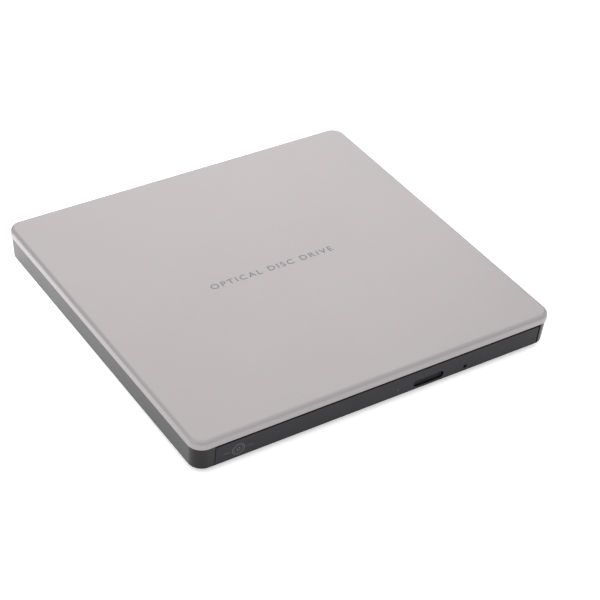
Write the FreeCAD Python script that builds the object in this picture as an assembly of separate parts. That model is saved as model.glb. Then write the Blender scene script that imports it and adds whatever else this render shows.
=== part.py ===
"""Slim portable disc drive: a two-piece case around a tray-loading mechanism.

Units are millimetres. The frame's origin is the centre of the footprint on the table, +Z is up,
the tray opens towards -Y and the data socket is in the rear wall (+Y).
Each function builds one sub-part and returns its shape; the table at the end exports them all.
"""
import FreeCAD
import Part

import math
import os

Vec = FreeCAD.Vector

# ---------------------------------------------------------------- driving dimensions: case
CASE_W = 144.0            # X, over the top cover
CASE_D = 137.5            # Y, over the top cover
CASE_H = 14.0             # Z, table to top cover
CORNER_R = 5.2            # plan radius of the cover's corners
COVER_EDGE_R = 2.2        # rounding of the cover's top edge
COVER_WALL = 1.2
RIM_BOTTOM_Z = 10.8       # lower edge of the cover's rim
# how far each outline stands inside the cover's outline
RIM_INSET = 1.2
BASE_TOP_INSET = 0.3
BASE_LOW_INSET = 0.8
BASE_FOOT_INSET = 2.3
CAVITY_INSET = 2.0
LIP_INSET = 1.35
BASE_TOP_Z = 10.75
BASE_LOW_Z = 2.1          # where the side wall turns into the bottom chamfer
BASE_BOTTOM_Z = 0.9
FLOOR_TOP_Z = 2.1
LIP_TOP_Z = 12.2
OPENING_X = (-64.4, 66.9) # tray opening in the front wall

FIX_X, FIX_Y = 67.3, 60.8             # case screws
BOSS_TOP_Z = 4.2
FOOT_X, FOOT_Y, FOOT_R = 65.2, 60.7, 4.0
FOOT_TOP_Z = 1.6
LABEL_HALF_X, LABEL_HALF_Y, LABEL_T = 36.0, 24.0, 0.15
PAN_FIX_X, PAN_FIX_Y = 68.5, 30.0     # screws through the chassis ears

# ---------------------------------------------------------------- driving dimensions: mechanism
STEEL_T = 0.5
PAN_Z = 2.2
PAN_HALF_X, PAN_HALF_Y = 67.0, 57.9
PAN_END_HALF_X, PAN_FRONT_Y, PAN_REAR_Y = 64.0, -65.5, 64.5
LID_Z, LID_T = 10.95, 0.4

TRAY_HALF_X = 62.6
TRAY_FRONT_Y, TRAY_REAR_Y = -65.95, 60.5
TRAY_TOP_Z = 10.2
TRAY_WALL = 1.6
RECESS_Z = 8.6            # floor of the disc recess
DECK_Z = 7.4              # underside of the recess floor
TRAY_LOW_Z = 3.4
DISC_R = 60.8             # radius of the disc recess
SURROUND_PARTS = 24       # sections of the raised surround of the recess
SKIN_Z = 9.0              # underside of the surround's skin
RING_WALL = 1.8           # wall around the recess, under the skin
SPINDLE_Y = -3.5

GUIDE_Y = (-57.5, 40.0)
RAIL_Y = (-64.5, 52.0)
RAIL_IN_X, RAIL_OUT_X = 62.95, 64.25
TONGUE_X = 63.5           # how far the tray's tongues reach into the rails
TONGUE_Y = (-62.0, 50.0)

BEZEL_X = (-64.2, 66.5)
BEZEL_LOW_Z, BEZEL_TOP_Z = 2.25, 9.9
BEZEL_BACK_Y = -65.95
BUTTON_X, BUTTON_Z = 19.6, 4.6
BUTTON_W, BUTTON_H = 12.6, 3.0
BUTTON_GAP = 0.2
LIGHT_X, LIGHT_Z, LIGHT_R = 6.9, 4.6, 0.55
PINHOLE_X, PINHOLE_Z, PINHOLE_R = 35.1, 4.0, 0.7

FEED_ANGLE = 225.0        # direction of the pickup's travel, about +Z from +X
LENS_X0 = 24.0            # lens to spindle at the innermost track
SHAFT_R, SHAFT_Z = 1.0, 5.2
MAIN_Y, SUB_Y = -11.0, 13.2
SCREW_Y, SCREW_Z, SCREW_R = -15.0, 5.35, 0.9
FRAME_X = (-18.0, 68.5)
FRAME_Y = (-18.0, 16.5)
FRAME_Z = (4.4, 7.0)
DAMPERS = [(50.0, -21.0), (50.0, 19.5), (-12.0, -21.0), (-12.0, 19.5)]
ROTOR_R, HOLE_R, HUB_R = 12.5, 13.2, 7.35
SEAT_Z = 9.1              # underside of a seated disc
WINDOW_X, WINDOW_HALF_Y = (-20.0, 66.0), 17.5

PORT_X, PORT_Z = -46.0, 4.3           # data socket: centre and underside
BOARD_Z, BOARD_T = 3.5, 0.8
STANDOFFS = [(-59.5, 61.0), (-20.0, 42.0), (20.0, 60.5), (56.0, 50.0)]

LEVER_X, LEVER_Y = 50.0, -38.0        # pivot of the lock lever
LEVER_OPEN_DEG = -13.0                # the lever is modelled released
PIN_X, PIN_Y, PIN_R = 55.0, -55.0, 1.2
SLIDER_X = PINHOLE_X
EJECTOR_X, EJECTOR_Z = 48.0, 8.3
FLEX_X, FLEX_HALF_W, FLEX_T = 36.0, 8.5, 0.15


# ---------------------------------------------------------------- shape helpers
def box(x0, x1, y0, y1, z0, z1):
    """A block between two corners."""
    return Part.makeBox(x1 - x0, y1 - y0, z1 - z0, Vec(x0, y0, z0))


def block(x, y, half_x, half_y, z0, z1):
    """A block about an upright axis."""
    return box(x - half_x, x + half_x, y - half_y, y + half_y, z0, z1)


def rod(x, y, z0, z1, r):
    """An upright cylinder."""
    return Part.makeCylinder(r, z1 - z0, Vec(x, y, z0))


def rod_y(x, z, y0, y1, r):
    """A cylinder along +Y."""
    return Part.makeCylinder(r, y1 - y0, Vec(x, y0, z), Vec(0, 1, 0))


def rod_x(y, z, x0, x1, r):
    """A cylinder along +X."""
    return Part.makeCylinder(r, x1 - x0, Vec(x0, y, z), Vec(1, 0, 0))


def ring(x, y, z0, z1, r_out, r_in):
    """An upright tube."""
    return rod(x, y, z0, z1, r_out).cut(rod(x, y, z0 - 1, z1 + 1, r_in))


def outline_wire(half_x, half_y, r, z):
    """A rounded rectangle about the Z axis."""
    q = r * (1 - math.sqrt(0.5))
    edges = []
    signs = [(1, 1), (-1, 1), (-1, -1), (1, -1)]
    ends = []
    for sx, sy in signs:
        near_y = Vec(sx * half_x, sy * (half_y - r), z)
        near_x = Vec(sx * (half_x - r), sy * half_y, z)
        middle = Vec(sx * (half_x - q), sy * (half_y - q), z)
        first, last = (near_y, near_x) if sx == sy else (near_x, near_y)
        edges.append(Part.Arc(first, middle, last).toShape())
        ends.append((first, last))
    for i in range(4):
        edges.insert(2 * i + 1, Part.makeLine(ends[i][1], ends[(i + 1) % 4][0]))
    return Part.Wire(edges)


def case_wire(inset, z):
    """The cover's outline, drawn in by a distance all round."""
    return outline_wire(CASE_W / 2 - inset, CASE_D / 2 - inset, CORNER_R - inset, z)


def case_slab(inset, z0, z1):
    """An upright slab inside the cover's outline."""
    return Part.Face(case_wire(inset, z0)).extrude(Vec(0, 0, z1 - z0))


def case_taper(inset0, z0, inset1, z1):
    """A slab whose sides lean from one inset to another."""
    return Part.makeLoft([case_wire(inset0, z0), case_wire(inset1, z1)], True, True)


def plate(points, z0, z1):
    """A prism over a polygon."""
    loop = [Vec(x, y, z0) for x, y in points]
    return Part.Face(Part.makePolygon(loop + [loop[0]])).extrude(Vec(0, 0, z1 - z0))


def bar_y(points, y0, y1):
    """A prism along +Y over an X-Z polygon."""
    loop = [Vec(x, y0, z) for x, z in points]
    return Part.Face(Part.makePolygon(loop + [loop[0]])).extrude(Vec(0, y1 - y0, 0))


def stadium_y(x, z, w, h, y0, y1):
    """A prism along +Y with round ends left and right."""
    r = h / 2
    flat = box(x - w / 2 + r, x + w / 2 - r, y0, y1, z - r, z + r)
    return flat.fuse([rod_y(x + s * (w / 2 - r), z, y0, y1, r) for s in (-1, 1)]).removeSplitter()


def all_cut(shape, *tools):
    """The shape less every tool."""
    return shape.cut(list(tools)).removeSplitter()


def joined(*shapes):
    """One solid from touching pieces."""
    return shapes[0].fuse(list(shapes[1:])).removeSplitter()


def to_feed(shape):
    """Carries a shape from the feed frame, +X along the pickup's way, to the case's frame."""
    placed = shape.copy()
    placed.rotate(Vec(0, 0, 0), Vec(0, 0, 1), FEED_ANGLE)
    placed.translate(Vec(0, SPINDLE_Y, 0))
    return placed


def mirrored(shape):
    """The shape's mirror image in the plane X = 0."""
    return shape.mirror(Vec(0, 0, 0), Vec(1, 0, 0))


def corners(x, y):
    """The four places at plus and minus x and y."""
    return [(sx * x, sy * y) for sx in (-1, 1) for sy in (-1, 1)]


def coil(radius, wire_r, pitch, turns):
    """A helical spring about the Z axis, starting at z = 0."""
    helix = Part.makeLongHelix(pitch, pitch * turns, radius)
    profile = Part.Wire(Part.makeCircle(wire_r, Vec(radius, 0, 0), Vec(0, 1, 0)))
    return Part.Wire(helix.Edges).makePipeShell([profile], True, True)


def screw(x, y, z_head, head_r, head_h, shank_r, z_tip):
    """A cross-slotted screw from its head's outer face to its tip, pointing up or down."""
    s = 1 if z_tip > z_head else -1
    head = Part.makeCylinder(head_r, head_h, Vec(x, y, z_head), Vec(0, 0, s))
    shank = Part.makeCylinder(shank_r, abs(z_tip - z_head), Vec(x, y, z_head), Vec(0, 0, s))
    low, high = sorted((z_head, z_head + s * head_h * 0.5))
    slots = [block(x, y, head_r * 0.6, 0.15, low, high), block(x, y, 0.15, head_r * 0.6, low, high)]
    return all_cut(joined(head, shank), *slots)


# ---------------------------------------------------------------- case
def top_cover():
    """Painted lid: a shallow tray upside down, with screw posts and stiffening ribs inside."""
    outer = case_slab(0, RIM_BOTTOM_Z, CASE_H)
    top_edges = [e for e in outer.Edges if e.BoundBox.ZMin > CASE_H - 0.01]
    outer = outer.makeFillet(COVER_EDGE_R, top_edges)
    under = CASE_H - COVER_WALL
    shell = outer.cut(case_slab(RIM_INSET, RIM_BOTTOM_Z - 1, under))
    posts = [rod(x, y, BOSS_TOP_Z, under, 2.0) for x, y in corners(FIX_X, FIX_Y)]
    rib_z = LID_Z + LID_T + 0.3
    ribs = [block(0, y, 60, 0.4, rib_z, under) for y in (-40, 0, 40)]
    ribs += [block(x, 0, 0.4, 55, rib_z, under) for x in (-40, 0, 40)]
    holes = [rod(x, y, BOSS_TOP_Z - 1, 10.5, 1.05) for x, y in corners(FIX_X, FIX_Y)]
    return all_cut(joined(shell, *posts, *ribs), *holes)


def base_shell():
    """Black lower case: floor, leaning walls, front posts, bosses and the socket's opening."""
    walls = case_taper(BASE_LOW_INSET, BASE_LOW_Z, BASE_TOP_INSET, BASE_TOP_Z)
    skirt = case_taper(BASE_FOOT_INSET, BASE_BOTTOM_Z, BASE_LOW_INSET, BASE_LOW_Z)
    lip = case_slab(LIP_INSET, BASE_TOP_Z, LIP_TOP_Z)
    cavity = case_slab(CAVITY_INSET, FLOOR_TOP_Z, LIP_TOP_Z + 1)
    front = box(*OPENING_X, -80, -62, FLOOR_TOP_Z, LIP_TOP_Z + 1)
    shell = all_cut(joined(walls, skirt, lip), cavity, front)
    bosses = [rod(x, y, FLOOR_TOP_Z - 0.2, BOSS_TOP_Z, 2.6) for x, y in corners(FIX_X, FIX_Y)]
    bosses += [rod(x, y, FLOOR_TOP_Z - 0.2, 4.4, 1.4) for x, y in corners(PAN_FIX_X, PAN_FIX_Y)]
    cuts = [rod(x, y, 0, 3.0, 1.85) for x, y in corners(FIX_X, FIX_Y)]
    cuts += [rod(x, y, 0, 5, 1.1) for x, y in corners(FIX_X, FIX_Y)]
    cuts += [rod(x, y, 0, FOOT_TOP_Z, FOOT_R + 0.05) for x, y in corners(FOOT_X, FOOT_Y)]
    cuts += [rod(x, y, 2.4, 5, 0.85) for x, y in corners(PAN_FIX_X, PAN_FIX_Y)]
    cuts.append(block(0, 0, LABEL_HALF_X + 0.4, LABEL_HALF_Y + 0.4, 0, BASE_BOTTOM_Z + 0.25))
    mouth = box(PORT_X - 4.15, PORT_X + 4.15, 62, 72, PORT_Z - 0.25, PORT_Z + 4.25)
    mouth = mouth.makeFillet(0.8, [e for e in mouth.Edges if abs(e.BoundBox.YLength - 10) < 0.01])
    return all_cut(joined(shell, *bosses), mouth, *cuts)


def rubber_feet():
    """Four stick-on discs in their pockets, with a soft lower edge."""
    feet = []
    for x, y in corners(FOOT_X, FOOT_Y):
        foot = rod(x, y, 0, FOOT_TOP_Z, FOOT_R)
        feet.append(foot.makeFillet(0.35, [e for e in foot.Edges if e.BoundBox.ZMax < 0.01]))
    return Part.makeCompound(feet)


def case_screws():
    """Screws hidden above the feet, holding the base to the cover's posts."""
    return Part.makeCompound([screw(x, y, 1.8, 1.75, 1.2, 1.0, 9.5) for x, y in corners(FIX_X, FIX_Y)])


def underside_label():
    """A thin sheet in the recess of the underside."""
    top = BASE_BOTTOM_Z + 0.25
    return block(0, 0, LABEL_HALF_X, LABEL_HALF_Y, top - LABEL_T, top)


# ---------------------------------------------------------------- chassis
def chassis_outline(z0, z1):
    """The chassis in plan: a wide middle with narrower ends that pass the case's corners."""
    middle = box(-PAN_HALF_X, PAN_HALF_X, -PAN_HALF_Y, PAN_HALF_Y, z0, z1)
    ends = box(-PAN_END_HALF_X, PAN_END_HALF_X, PAN_FRONT_Y, PAN_REAR_Y, z0, z1)
    return joined(middle, ends)


def chassis_pan():
    """Folded steel tray of the mechanism, with ears, board standoffs and a cut-out for the socket."""
    t = STEEL_T
    walls = [box(-PAN_HALF_X, t - PAN_HALF_X, -PAN_HALF_Y, PAN_HALF_Y, PAN_Z, LID_Z),
             box(PAN_HALF_X - t, PAN_HALF_X, -PAN_HALF_Y, PAN_HALF_Y, PAN_Z, LID_Z),
             box(-PAN_END_HALF_X, PAN_END_HALF_X, PAN_REAR_Y - t, PAN_REAR_Y, PAN_Z, LID_Z)]
    ears = [block(s * 68.25, y, 1.35, 1.6, 4.4, 4.4 + t)
            for s in (-1, 1) for y in (-PAN_FIX_Y, PAN_FIX_Y)]
    stands = [rod(x, y, PAN_Z, BOARD_Z, 1.8) for x, y in STANDOFFS]
    cuts = [rod(x, y, 4, 5, 0.9) for x, y in corners(PAN_FIX_X, PAN_FIX_Y)]
    cuts += [rod(x, y, PAN_Z - 1, BOARD_Z + 1, 0.6) for x, y in STANDOFFS]
    cuts.append(box(PORT_X - 4.2, PORT_X + 4.2, 63, 66, PORT_Z - 0.5, PORT_Z + 4.4))
    floor = chassis_outline(PAN_Z, PAN_Z + t)
    return all_cut(joined(floor, *walls, *ears, *stands), *cuts)


def chassis_lid():
    """Flat steel lid with folded side skirts outside the pan's walls."""
    skirts = [box(PAN_HALF_X + 0.1, PAN_HALF_X + 0.5, -50, 50, 8.5, LID_Z + LID_T)]
    skirts.append(mirrored(skirts[0]))
    bridges = [box(PAN_HALF_X - 0.5, PAN_HALF_X + 0.5, -50, 50, LID_Z, LID_Z + LID_T)]
    bridges.append(mirrored(bridges[0]))
    return joined(chassis_outline(LID_Z, LID_Z + LID_T), *skirts, *bridges)


def chassis_screws():
    """Screws through the pan's ears into the base."""
    spots = corners(PAN_FIX_X, PAN_FIX_Y)
    return Part.makeCompound([screw(x, y, 5.7, 1.25, 0.8, 0.8, 2.6) for x, y in spots])


def right_rail_guide():
    """Plastic channel on the pan's right wall that the telescopic rail runs in."""
    y0, y1 = GUIDE_Y
    wall = PAN_HALF_X - STEEL_T
    web = box(64.55, wall, y0, y1, 3.7, 9.3)
    lips = [box(63.3, wall, y0, y1, 3.7, 4.3), box(63.3, wall, y0, y1, 8.7, 9.3)]
    return joined(web, *lips)


def right_slide_rail():
    """Steel channel between guide and tray that travels half as far as the tray."""
    y0, y1 = RAIL_Y
    web = box(63.8, RAIL_OUT_X, y0, y1, 4.6, 8.4)
    flanges = [box(RAIL_IN_X, RAIL_OUT_X, y0, y1, z, z + 0.6) for z in (4.6, 7.8)]
    return joined(web, *flanges)


def lock_pin():
    """Riveted pin in the pan's floor that the tray's lever hooks."""
    return rod(PIN_X, PIN_Y, PAN_Z + STEEL_T, 5.6, PIN_R)


# ---------------------------------------------------------------- main board
def main_board():
    """Rear circuit board, deep on the left and shallow on the right."""
    outline = [(-63.0, 36), (-8, 36), (-8, 47), (60, 47), (60, 63.7), (-63.0, 63.7)]
    board = plate(outline, BOARD_Z, BOARD_Z + BOARD_T)
    return all_cut(board, *[rod(x, y, 3, 5, 0.6) for x, y in STANDOFFS])


def board_screws():
    """Small screws holding the board to the pan's standoffs."""
    top = BOARD_Z + BOARD_T + 0.6
    return Part.makeCompound([screw(x, y, top, 1.2, 0.6, 0.55, 2.3) for x, y in STANDOFFS])


def board_part(x0, x1, y0, y1, height):
    """A component's body on the board."""
    top = BOARD_Z + BOARD_T
    body = box(x0, x1, y0, y1, top, top + height)
    return body.makeChamfer(0.12, [e for e in body.Edges if e.BoundBox.ZMin > top + height - 0.01])


def board_chips():
    """Controller, motor driver and memory packages."""
    places = [(-56, -42, 39, 53, 1.3), (-34, -27, 41, 48, 1.1), (-16, -10, 53, 61, 1.0)]
    return Part.makeCompound([board_part(*place) for place in places])


def quartz_crystal():
    """Stadium-shaped metal can of the board's clock."""
    top = BOARD_Z + BOARD_T
    can = box(-26.0, -19.0, 51.0, 53.0, top, top + 1.4)
    return joined(can, rod(-26.0, 52.0, top, top + 1.4, 1.0), rod(-19.0, 52.0, top, top + 1.4, 1.0))


def usb_section(inset):
    """Cross-section of the data socket's shell, wide at the top and stepped in below."""
    w, n, h = 3.85 - inset, 3.1 - inset, 3.95 - inset
    return [(PORT_X - w, PORT_Z + h), (PORT_X + w, PORT_Z + h), (PORT_X + w, PORT_Z + 1.45),
            (PORT_X + n, PORT_Z + 0.75), (PORT_X + n, PORT_Z + inset), (PORT_X - n, PORT_Z + inset),
            (PORT_X - n, PORT_Z + 0.75), (PORT_X - w, PORT_Z + 1.45)]


def usb_socket():
    """Metal shell of the five-way data socket, open to the rear."""
    shell = bar_y(usb_section(0), 58.8, 68.0)
    return all_cut(shell, bar_y(usb_section(0.35), 58.0, 69.0))


def usb_tongue():
    """Insulator that closes the socket's inner end and carries the contact tongue."""
    back = bar_y(usb_section(0.37), 58.8, 60.4)
    tongue = block(PORT_X, 63.5, 1.9, 3.1, PORT_Z + 1.75, PORT_Z + 2.65)
    return joined(back, tongue)


def usb_contacts():
    """Five flat contacts under the tongue."""
    z = PORT_Z + 1.63
    return Part.makeCompound([block(PORT_X + 0.7 * i, 63.5, 0.16, 2.9, z, z + 0.12) for i in range(-2, 3)])


def flex_connector():
    """Board connector of the tray's ribbon."""
    top = BOARD_Z + BOARD_T
    body = block(FLEX_X, 50.0, FLEX_HALF_W + 0.6, 1.8, top, top + 1.5)
    slot = block(FLEX_X, 48.9, FLEX_HALF_W + 0.1, 1.0, top + 0.65, top + 0.9)
    return all_cut(body, slot)


def tray_flex_cable():
    """Flat ribbon that folds once under the tray, from the board to the tray's connector."""
    t = FLEX_T
    z_low, z_high, fold_y = PAN_Z + STEEL_T + 0.05, 5.6, -29.0
    z_end = BOARD_Z + BOARD_T + 0.7
    r = (z_high + t - z_low) / 2
    mid_z = z_low + r
    x0, x1 = FLEX_X - FLEX_HALF_W, FLEX_X + FLEX_HALF_W
    ramp = [Vec(x0, 37.0, z_low), Vec(x0, 38.0, z_low), Vec(x0, 45.5, z_end), Vec(x0, 48.2, z_end)]
    up = Vec(0, 0, t)
    lower = [Vec(x0, fold_y, z_low)] + ramp
    outline = lower + [p + up for p in reversed(lower)]
    low_run = Part.Face(Part.makePolygon(outline + [outline[0]])).extrude(Vec(x1 - x0, 0, 0))
    high_run = box(x0, x1, fold_y, 36.8, z_high, z_high + t)
    tube = rod_x(fold_y, mid_z, x0, x1, r).cut(rod_x(fold_y, mid_z, x0 - 1, x1 + 1, r - t))
    fold = tube.common(box(x0 - 1, x1 + 1, fold_y - 10, fold_y, 0, 10))
    return joined(low_run, high_run, fold)


# ---------------------------------------------------------------- tray
def tray_outline(inset, z0, z1):
    """The tray in plan, with its rear left corner cut off over the socket."""
    h, f, b = TRAY_HALF_X - inset, TRAY_FRONT_Y + inset, TRAY_REAR_Y - inset
    c = inset * 0.4142
    points = [(-h, f), (h, f), (h, b), (-34.0 + c, b), (-h, 32.0 - c)]
    return plate(points, z0, z1)


def tray_hollow():
    """Space under the tray's raised corners, outside the ring wall of the recess."""
    ring_wall = rod(0, SPINDLE_Y, 0, 20, DISC_R + RING_WALL)
    keep = box(EJECTOR_X - 2.9, EJECTOR_X + 2.9, 38.5, TRAY_REAR_Y, 6.0, 9.9)
    return all_cut(tray_outline(TRAY_WALL, DECK_Z - 1, SKIN_Z), ring_wall, keep)


def ejector_bore():
    """Stepped bore that the ejector and its spring run in."""
    return joined(rod_y(EJECTOR_X, EJECTOR_Z, 40.2, 58.9, 1.5), rod_y(EJECTOR_X, EJECTOR_Z, 50, 62, 1.1))


def disc_tray():
    """Moulded tray up to the recess floor: deck, side walls, tongues and the window for the drive."""
    deck = tray_outline(0, DECK_Z, RECESS_Z)
    window = to_feed(box(WINDOW_X[0], WINDOW_X[1], -WINDOW_HALF_Y, WINDOW_HALF_Y, 7.3, 8.7))
    side = box(TRAY_HALF_X - TRAY_WALL, TRAY_HALF_X, TRAY_FRONT_Y, 31.5, TRAY_LOW_Z, DECK_Z)
    tongue = box(TRAY_HALF_X - 0.4, TONGUE_X, TONGUE_Y[0], TONGUE_Y[1], 5.6, 7.5)
    root = box(TRAY_HALF_X - TRAY_WALL, TRAY_HALF_X, 31.5, TONGUE_Y[1], 6.6, DECK_Z)
    front = box(-TRAY_HALF_X, TRAY_HALF_X, TRAY_FRONT_Y, TRAY_FRONT_Y + TRAY_WALL, TRAY_LOW_Z, DECK_Z)
    left_root = box(-TRAY_HALF_X, TRAY_WALL - TRAY_HALF_X, 28.0, 31.9, 5.6, DECK_Z)
    left_tongue = box(-TONGUE_X, 0.4 - TRAY_HALF_X, TONGUE_Y[0], 31.8, 5.6, 7.5)
    seats = [rod(x, y, 7.1, DECK_Z, 1.5) for x, y in ((4, -57), (28, -57))]
    pivot = rod(LEVER_X, LEVER_Y, 5.9, DECK_Z + 0.4, 2.2)
    channel = box(EJECTOR_X - 2.9, EJECTOR_X + 2.9, 38.5, TRAY_REAR_Y, 6.6, RECESS_Z)
    body = joined(deck, side, mirrored(side), tongue, root, front, left_root,
                  left_tongue, *seats, pivot, channel)
    blind = [to_feed(rod(x, y, 7.0, 8.3, 0.82)) for x, y in DAMPERS]
    front_cuts = [box(11.5, 27.6, -67, -64, 3.0, 6.7), rod_y(LIGHT_X, LIGHT_Z, -67, -64, 0.62),
                  rod_y(PINHOLE_X, PINHOLE_Z, -67, -64, 0.9)]
    pin_hole = rod(LEVER_X, LEVER_Y, 5, 8.1, SHAFT_R + 0.02)
    return all_cut(body, tray_hollow(), window, ejector_bore(), pin_hole, *blind, *front_cuts)


def tray_surround():
    """Raised surround of the disc recess, in sections that meet edge to edge around the disc."""
    land = tray_outline(0, RECESS_Z, TRAY_TOP_Z)
    recess = rod(0, SPINDLE_Y, RECESS_Z - 1, TRAY_TOP_Z + 1, DISC_R)
    land = all_cut(land, recess, tray_hollow(), ejector_bore())
    step = 2 * math.pi / SURROUND_PARTS
    sections = []
    for i in range(SURROUND_PARTS):
        far = [(150 * math.cos(a), SPINDLE_Y + 150 * math.sin(a)) for a in (i * step, (i + 1) * step)]
        wedge = plate([(0, SPINDLE_Y), *far], RECESS_Z - 1, TRAY_TOP_Z + 1)
        sections += land.common(wedge).Solids
    return Part.makeCompound(sections)


def tray_bezel():
    """Front panel of the tray with the button's slot, the light's bore and the release hole."""
    low_y = -(CASE_D / 2 - BASE_LOW_INSET)
    lean = (BASE_LOW_INSET - BASE_TOP_INSET) / (BASE_TOP_Z - BASE_LOW_Z)
    top_y = low_y - lean * (BEZEL_TOP_Z - BEZEL_LOW_Z)
    x0, x1 = BEZEL_X
    side = [Vec(x0, low_y, BEZEL_LOW_Z), Vec(x0, top_y, BEZEL_TOP_Z),
            Vec(x0, BEZEL_BACK_Y, BEZEL_TOP_Z), Vec(x0, BEZEL_BACK_Y, BEZEL_LOW_Z)]
    panel = Part.Face(Part.makePolygon(side + [side[0]])).extrude(Vec(x1 - x0, 0, 0))
    rim = [e for e in panel.Edges if e.BoundBox.YMax < BEZEL_BACK_Y - 1]
    panel = panel.makeFillet(0.25, rim)
    slot = stadium_y(BUTTON_X, BUTTON_Z, BUTTON_W, BUTTON_H, -70, -65)
    holes = [rod_y(LIGHT_X, LIGHT_Z, -70, -65, LIGHT_R + 0.02),
             rod_y(PINHOLE_X, PINHOLE_Z, -70, -65, PINHOLE_R)]
    return all_cut(panel, slot, *holes)


def eject_button():
    """Push button with a face that slopes back towards its top, a flange and a short stem."""
    w, h = BUTTON_W - 2 * BUTTON_GAP, BUTTON_H - 2 * BUTTON_GAP
    cap = stadium_y(BUTTON_X, BUTTON_Z, w, h, -67.9, -65.6)
    slope = [Vec(0, -69, BUTTON_Z - h / 2 + 0.5), Vec(0, -67.9, BUTTON_Z - h / 2 + 0.5),
             Vec(0, -66.9, BUTTON_Z + h / 2 + 0.1), Vec(0, -69, BUTTON_Z + h / 2 + 0.1)]
    wedge = Part.Face(Part.makePolygon(slope + [slope[0]])).extrude(Vec(40, 0, 0))
    flange = stadium_y(BUTTON_X, BUTTON_Z, 14.6, h, -65.85, -65.45)
    stem = block(BUTTON_X, -65.4, 1.2, 0.15, 3.9, 5.3)
    return joined(cap.cut(wedge), flange, stem)


def light_pipe():
    """Clear rod that carries the status light through the bezel."""
    return rod_y(LIGHT_X, LIGHT_Z, -68.1, -64.5, LIGHT_R)


def status_led():
    """Light source behind the pipe, hanging from the front board."""
    return box(LIGHT_X - 0.8, LIGHT_X + 0.8, -64.3, -63.3, 3.9, 6.3)


def eject_switch():
    """Tact switch behind the button."""
    body = box(BUTTON_X - 2.6, BUTTON_X + 2.6, -64.2, -61.0, 3.8, 6.3)
    return joined(body, rod_y(BUTTON_X, BUTTON_Z, -64.7, -64.2, 0.8))


def front_board():
    """Small circuit board above the button and the light."""
    return plate([(2, -64.2), (30, -64.2), (30, -50), (2, -50)], 6.3, 7.1)


def tray_under_cover():
    """Thin cover under the tray, cut back beside the ribbon."""
    outline = [(-62.3, -64.3), (51.5, -64.3), (51.5, -33.5), (25, -33.5), (25, 31), (-62.3, 31)]
    return plate(outline, TRAY_LOW_Z - 0.3, TRAY_LOW_Z)


def tray_connector():
    """Connector under the tray that takes the ribbon's moving end."""
    body = block(FLEX_X, 38.0, FLEX_HALF_W + 0.6, 1.8, 5.0, DECK_Z)
    slot = block(FLEX_X, 36.9, FLEX_HALF_W + 0.1, 1.0, 5.55, 5.8)
    return all_cut(body, slot)


# ---------------------------------------------------------------- ejector and tray lock
def ejector_pusher():
    """Sprung rod in the tray's rear wall that rests against the chassis."""
    rod_part = rod_y(EJECTOR_X, EJECTOR_Z, 47.0, 63.9, 1.0)
    return joined(rod_part, rod_y(EJECTOR_X, EJECTOR_Z, 47.0, 48.0, 1.45))


def ejector_spring():
    """Compression spring behind the pusher."""
    spring = coil(1.15, 0.14, 0.85, 7)
    spring.rotate(Vec(0, 0, 0), Vec(1, 0, 0), -90)
    spring.translate(Vec(EJECTOR_X, 40.6, EJECTOR_Z))
    return spring


def lever_pivot():
    """Headed steel pin that the lock lever turns on."""
    return joined(rod(LEVER_X, LEVER_Y, 3.45, 8.0, SHAFT_R), rod(LEVER_X, LEVER_Y, 3.45, 3.75, 1.7))


def lock_lever():
    """Hooked lever with a tail for the release slider and a post for the solenoid."""
    x, y = LEVER_X, LEVER_Y
    z0, z1 = 3.85, 4.85
    hub = rod(x, y, z0, z1, 2.6)
    arm = box(x - 1.2, x + 1.2, -53.4, y, z0, z1)
    hook = box(x - 1.2, x + 5.5, -53.4, -51.6, z0, z1)
    tail = box(SLIDER_X - 1.2, x, y - 1.0, y + 1.0, z0, z1)
    tail.rotate(Vec(x, y, 0), Vec(0, 0, 1), 6.5)
    post = rod(x + 0.2, y - 6.0, z0, 7.0, 0.6)
    lever = all_cut(joined(hub, arm, hook, tail, post), rod(x, y, 3, 6, SHAFT_R + 0.04))
    lever.rotate(Vec(x, y, 0), Vec(0, 0, 1), LEVER_OPEN_DEG)
    return lever


def lock_spring():
    """Torsion spring round the lever's pivot."""
    spring = coil(1.5, 0.13, 0.28, 2.5)
    spring.translate(Vec(LEVER_X, LEVER_Y, 5.0))
    return spring


def solenoid():
    """Block-shaped release magnet under the tray's deck."""
    body = box(37.2, 45.6, -47.2, -41.2, 3.8, DECK_Z)
    return all_cut(body, rod_x(LEVER_Y - 5.9, 6.0, 39.0, 46.0, 0.83))


def solenoid_plunger():
    """Iron plunger with a slotted end plate round the lever's post."""
    y = LEVER_Y - 5.9
    core = rod_x(y, 6.0, 39.6, 47.5, 0.8)
    end = box(47.3, 50.3, y - 1.7, y + 1.7, 5.7, 6.3)
    post_x = LEVER_X + 0.2 - 6.0 * math.sin(math.radians(-LEVER_OPEN_DEG))
    slot = joined(rod(post_x, y - 0.35, 5, 7, 0.85), rod(post_x, y + 0.35, 5, 7, 0.85),
                  block(post_x, y, 0.85, 0.35, 5, 7))
    return all_cut(joined(core, end), slot)


def emergency_slider():
    """Bar behind the release hole that turns the lever when it is pushed in."""
    return box(SLIDER_X - 0.8, SLIDER_X + 0.8, -60.7, -37.6, 3.5, 4.5)


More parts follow.
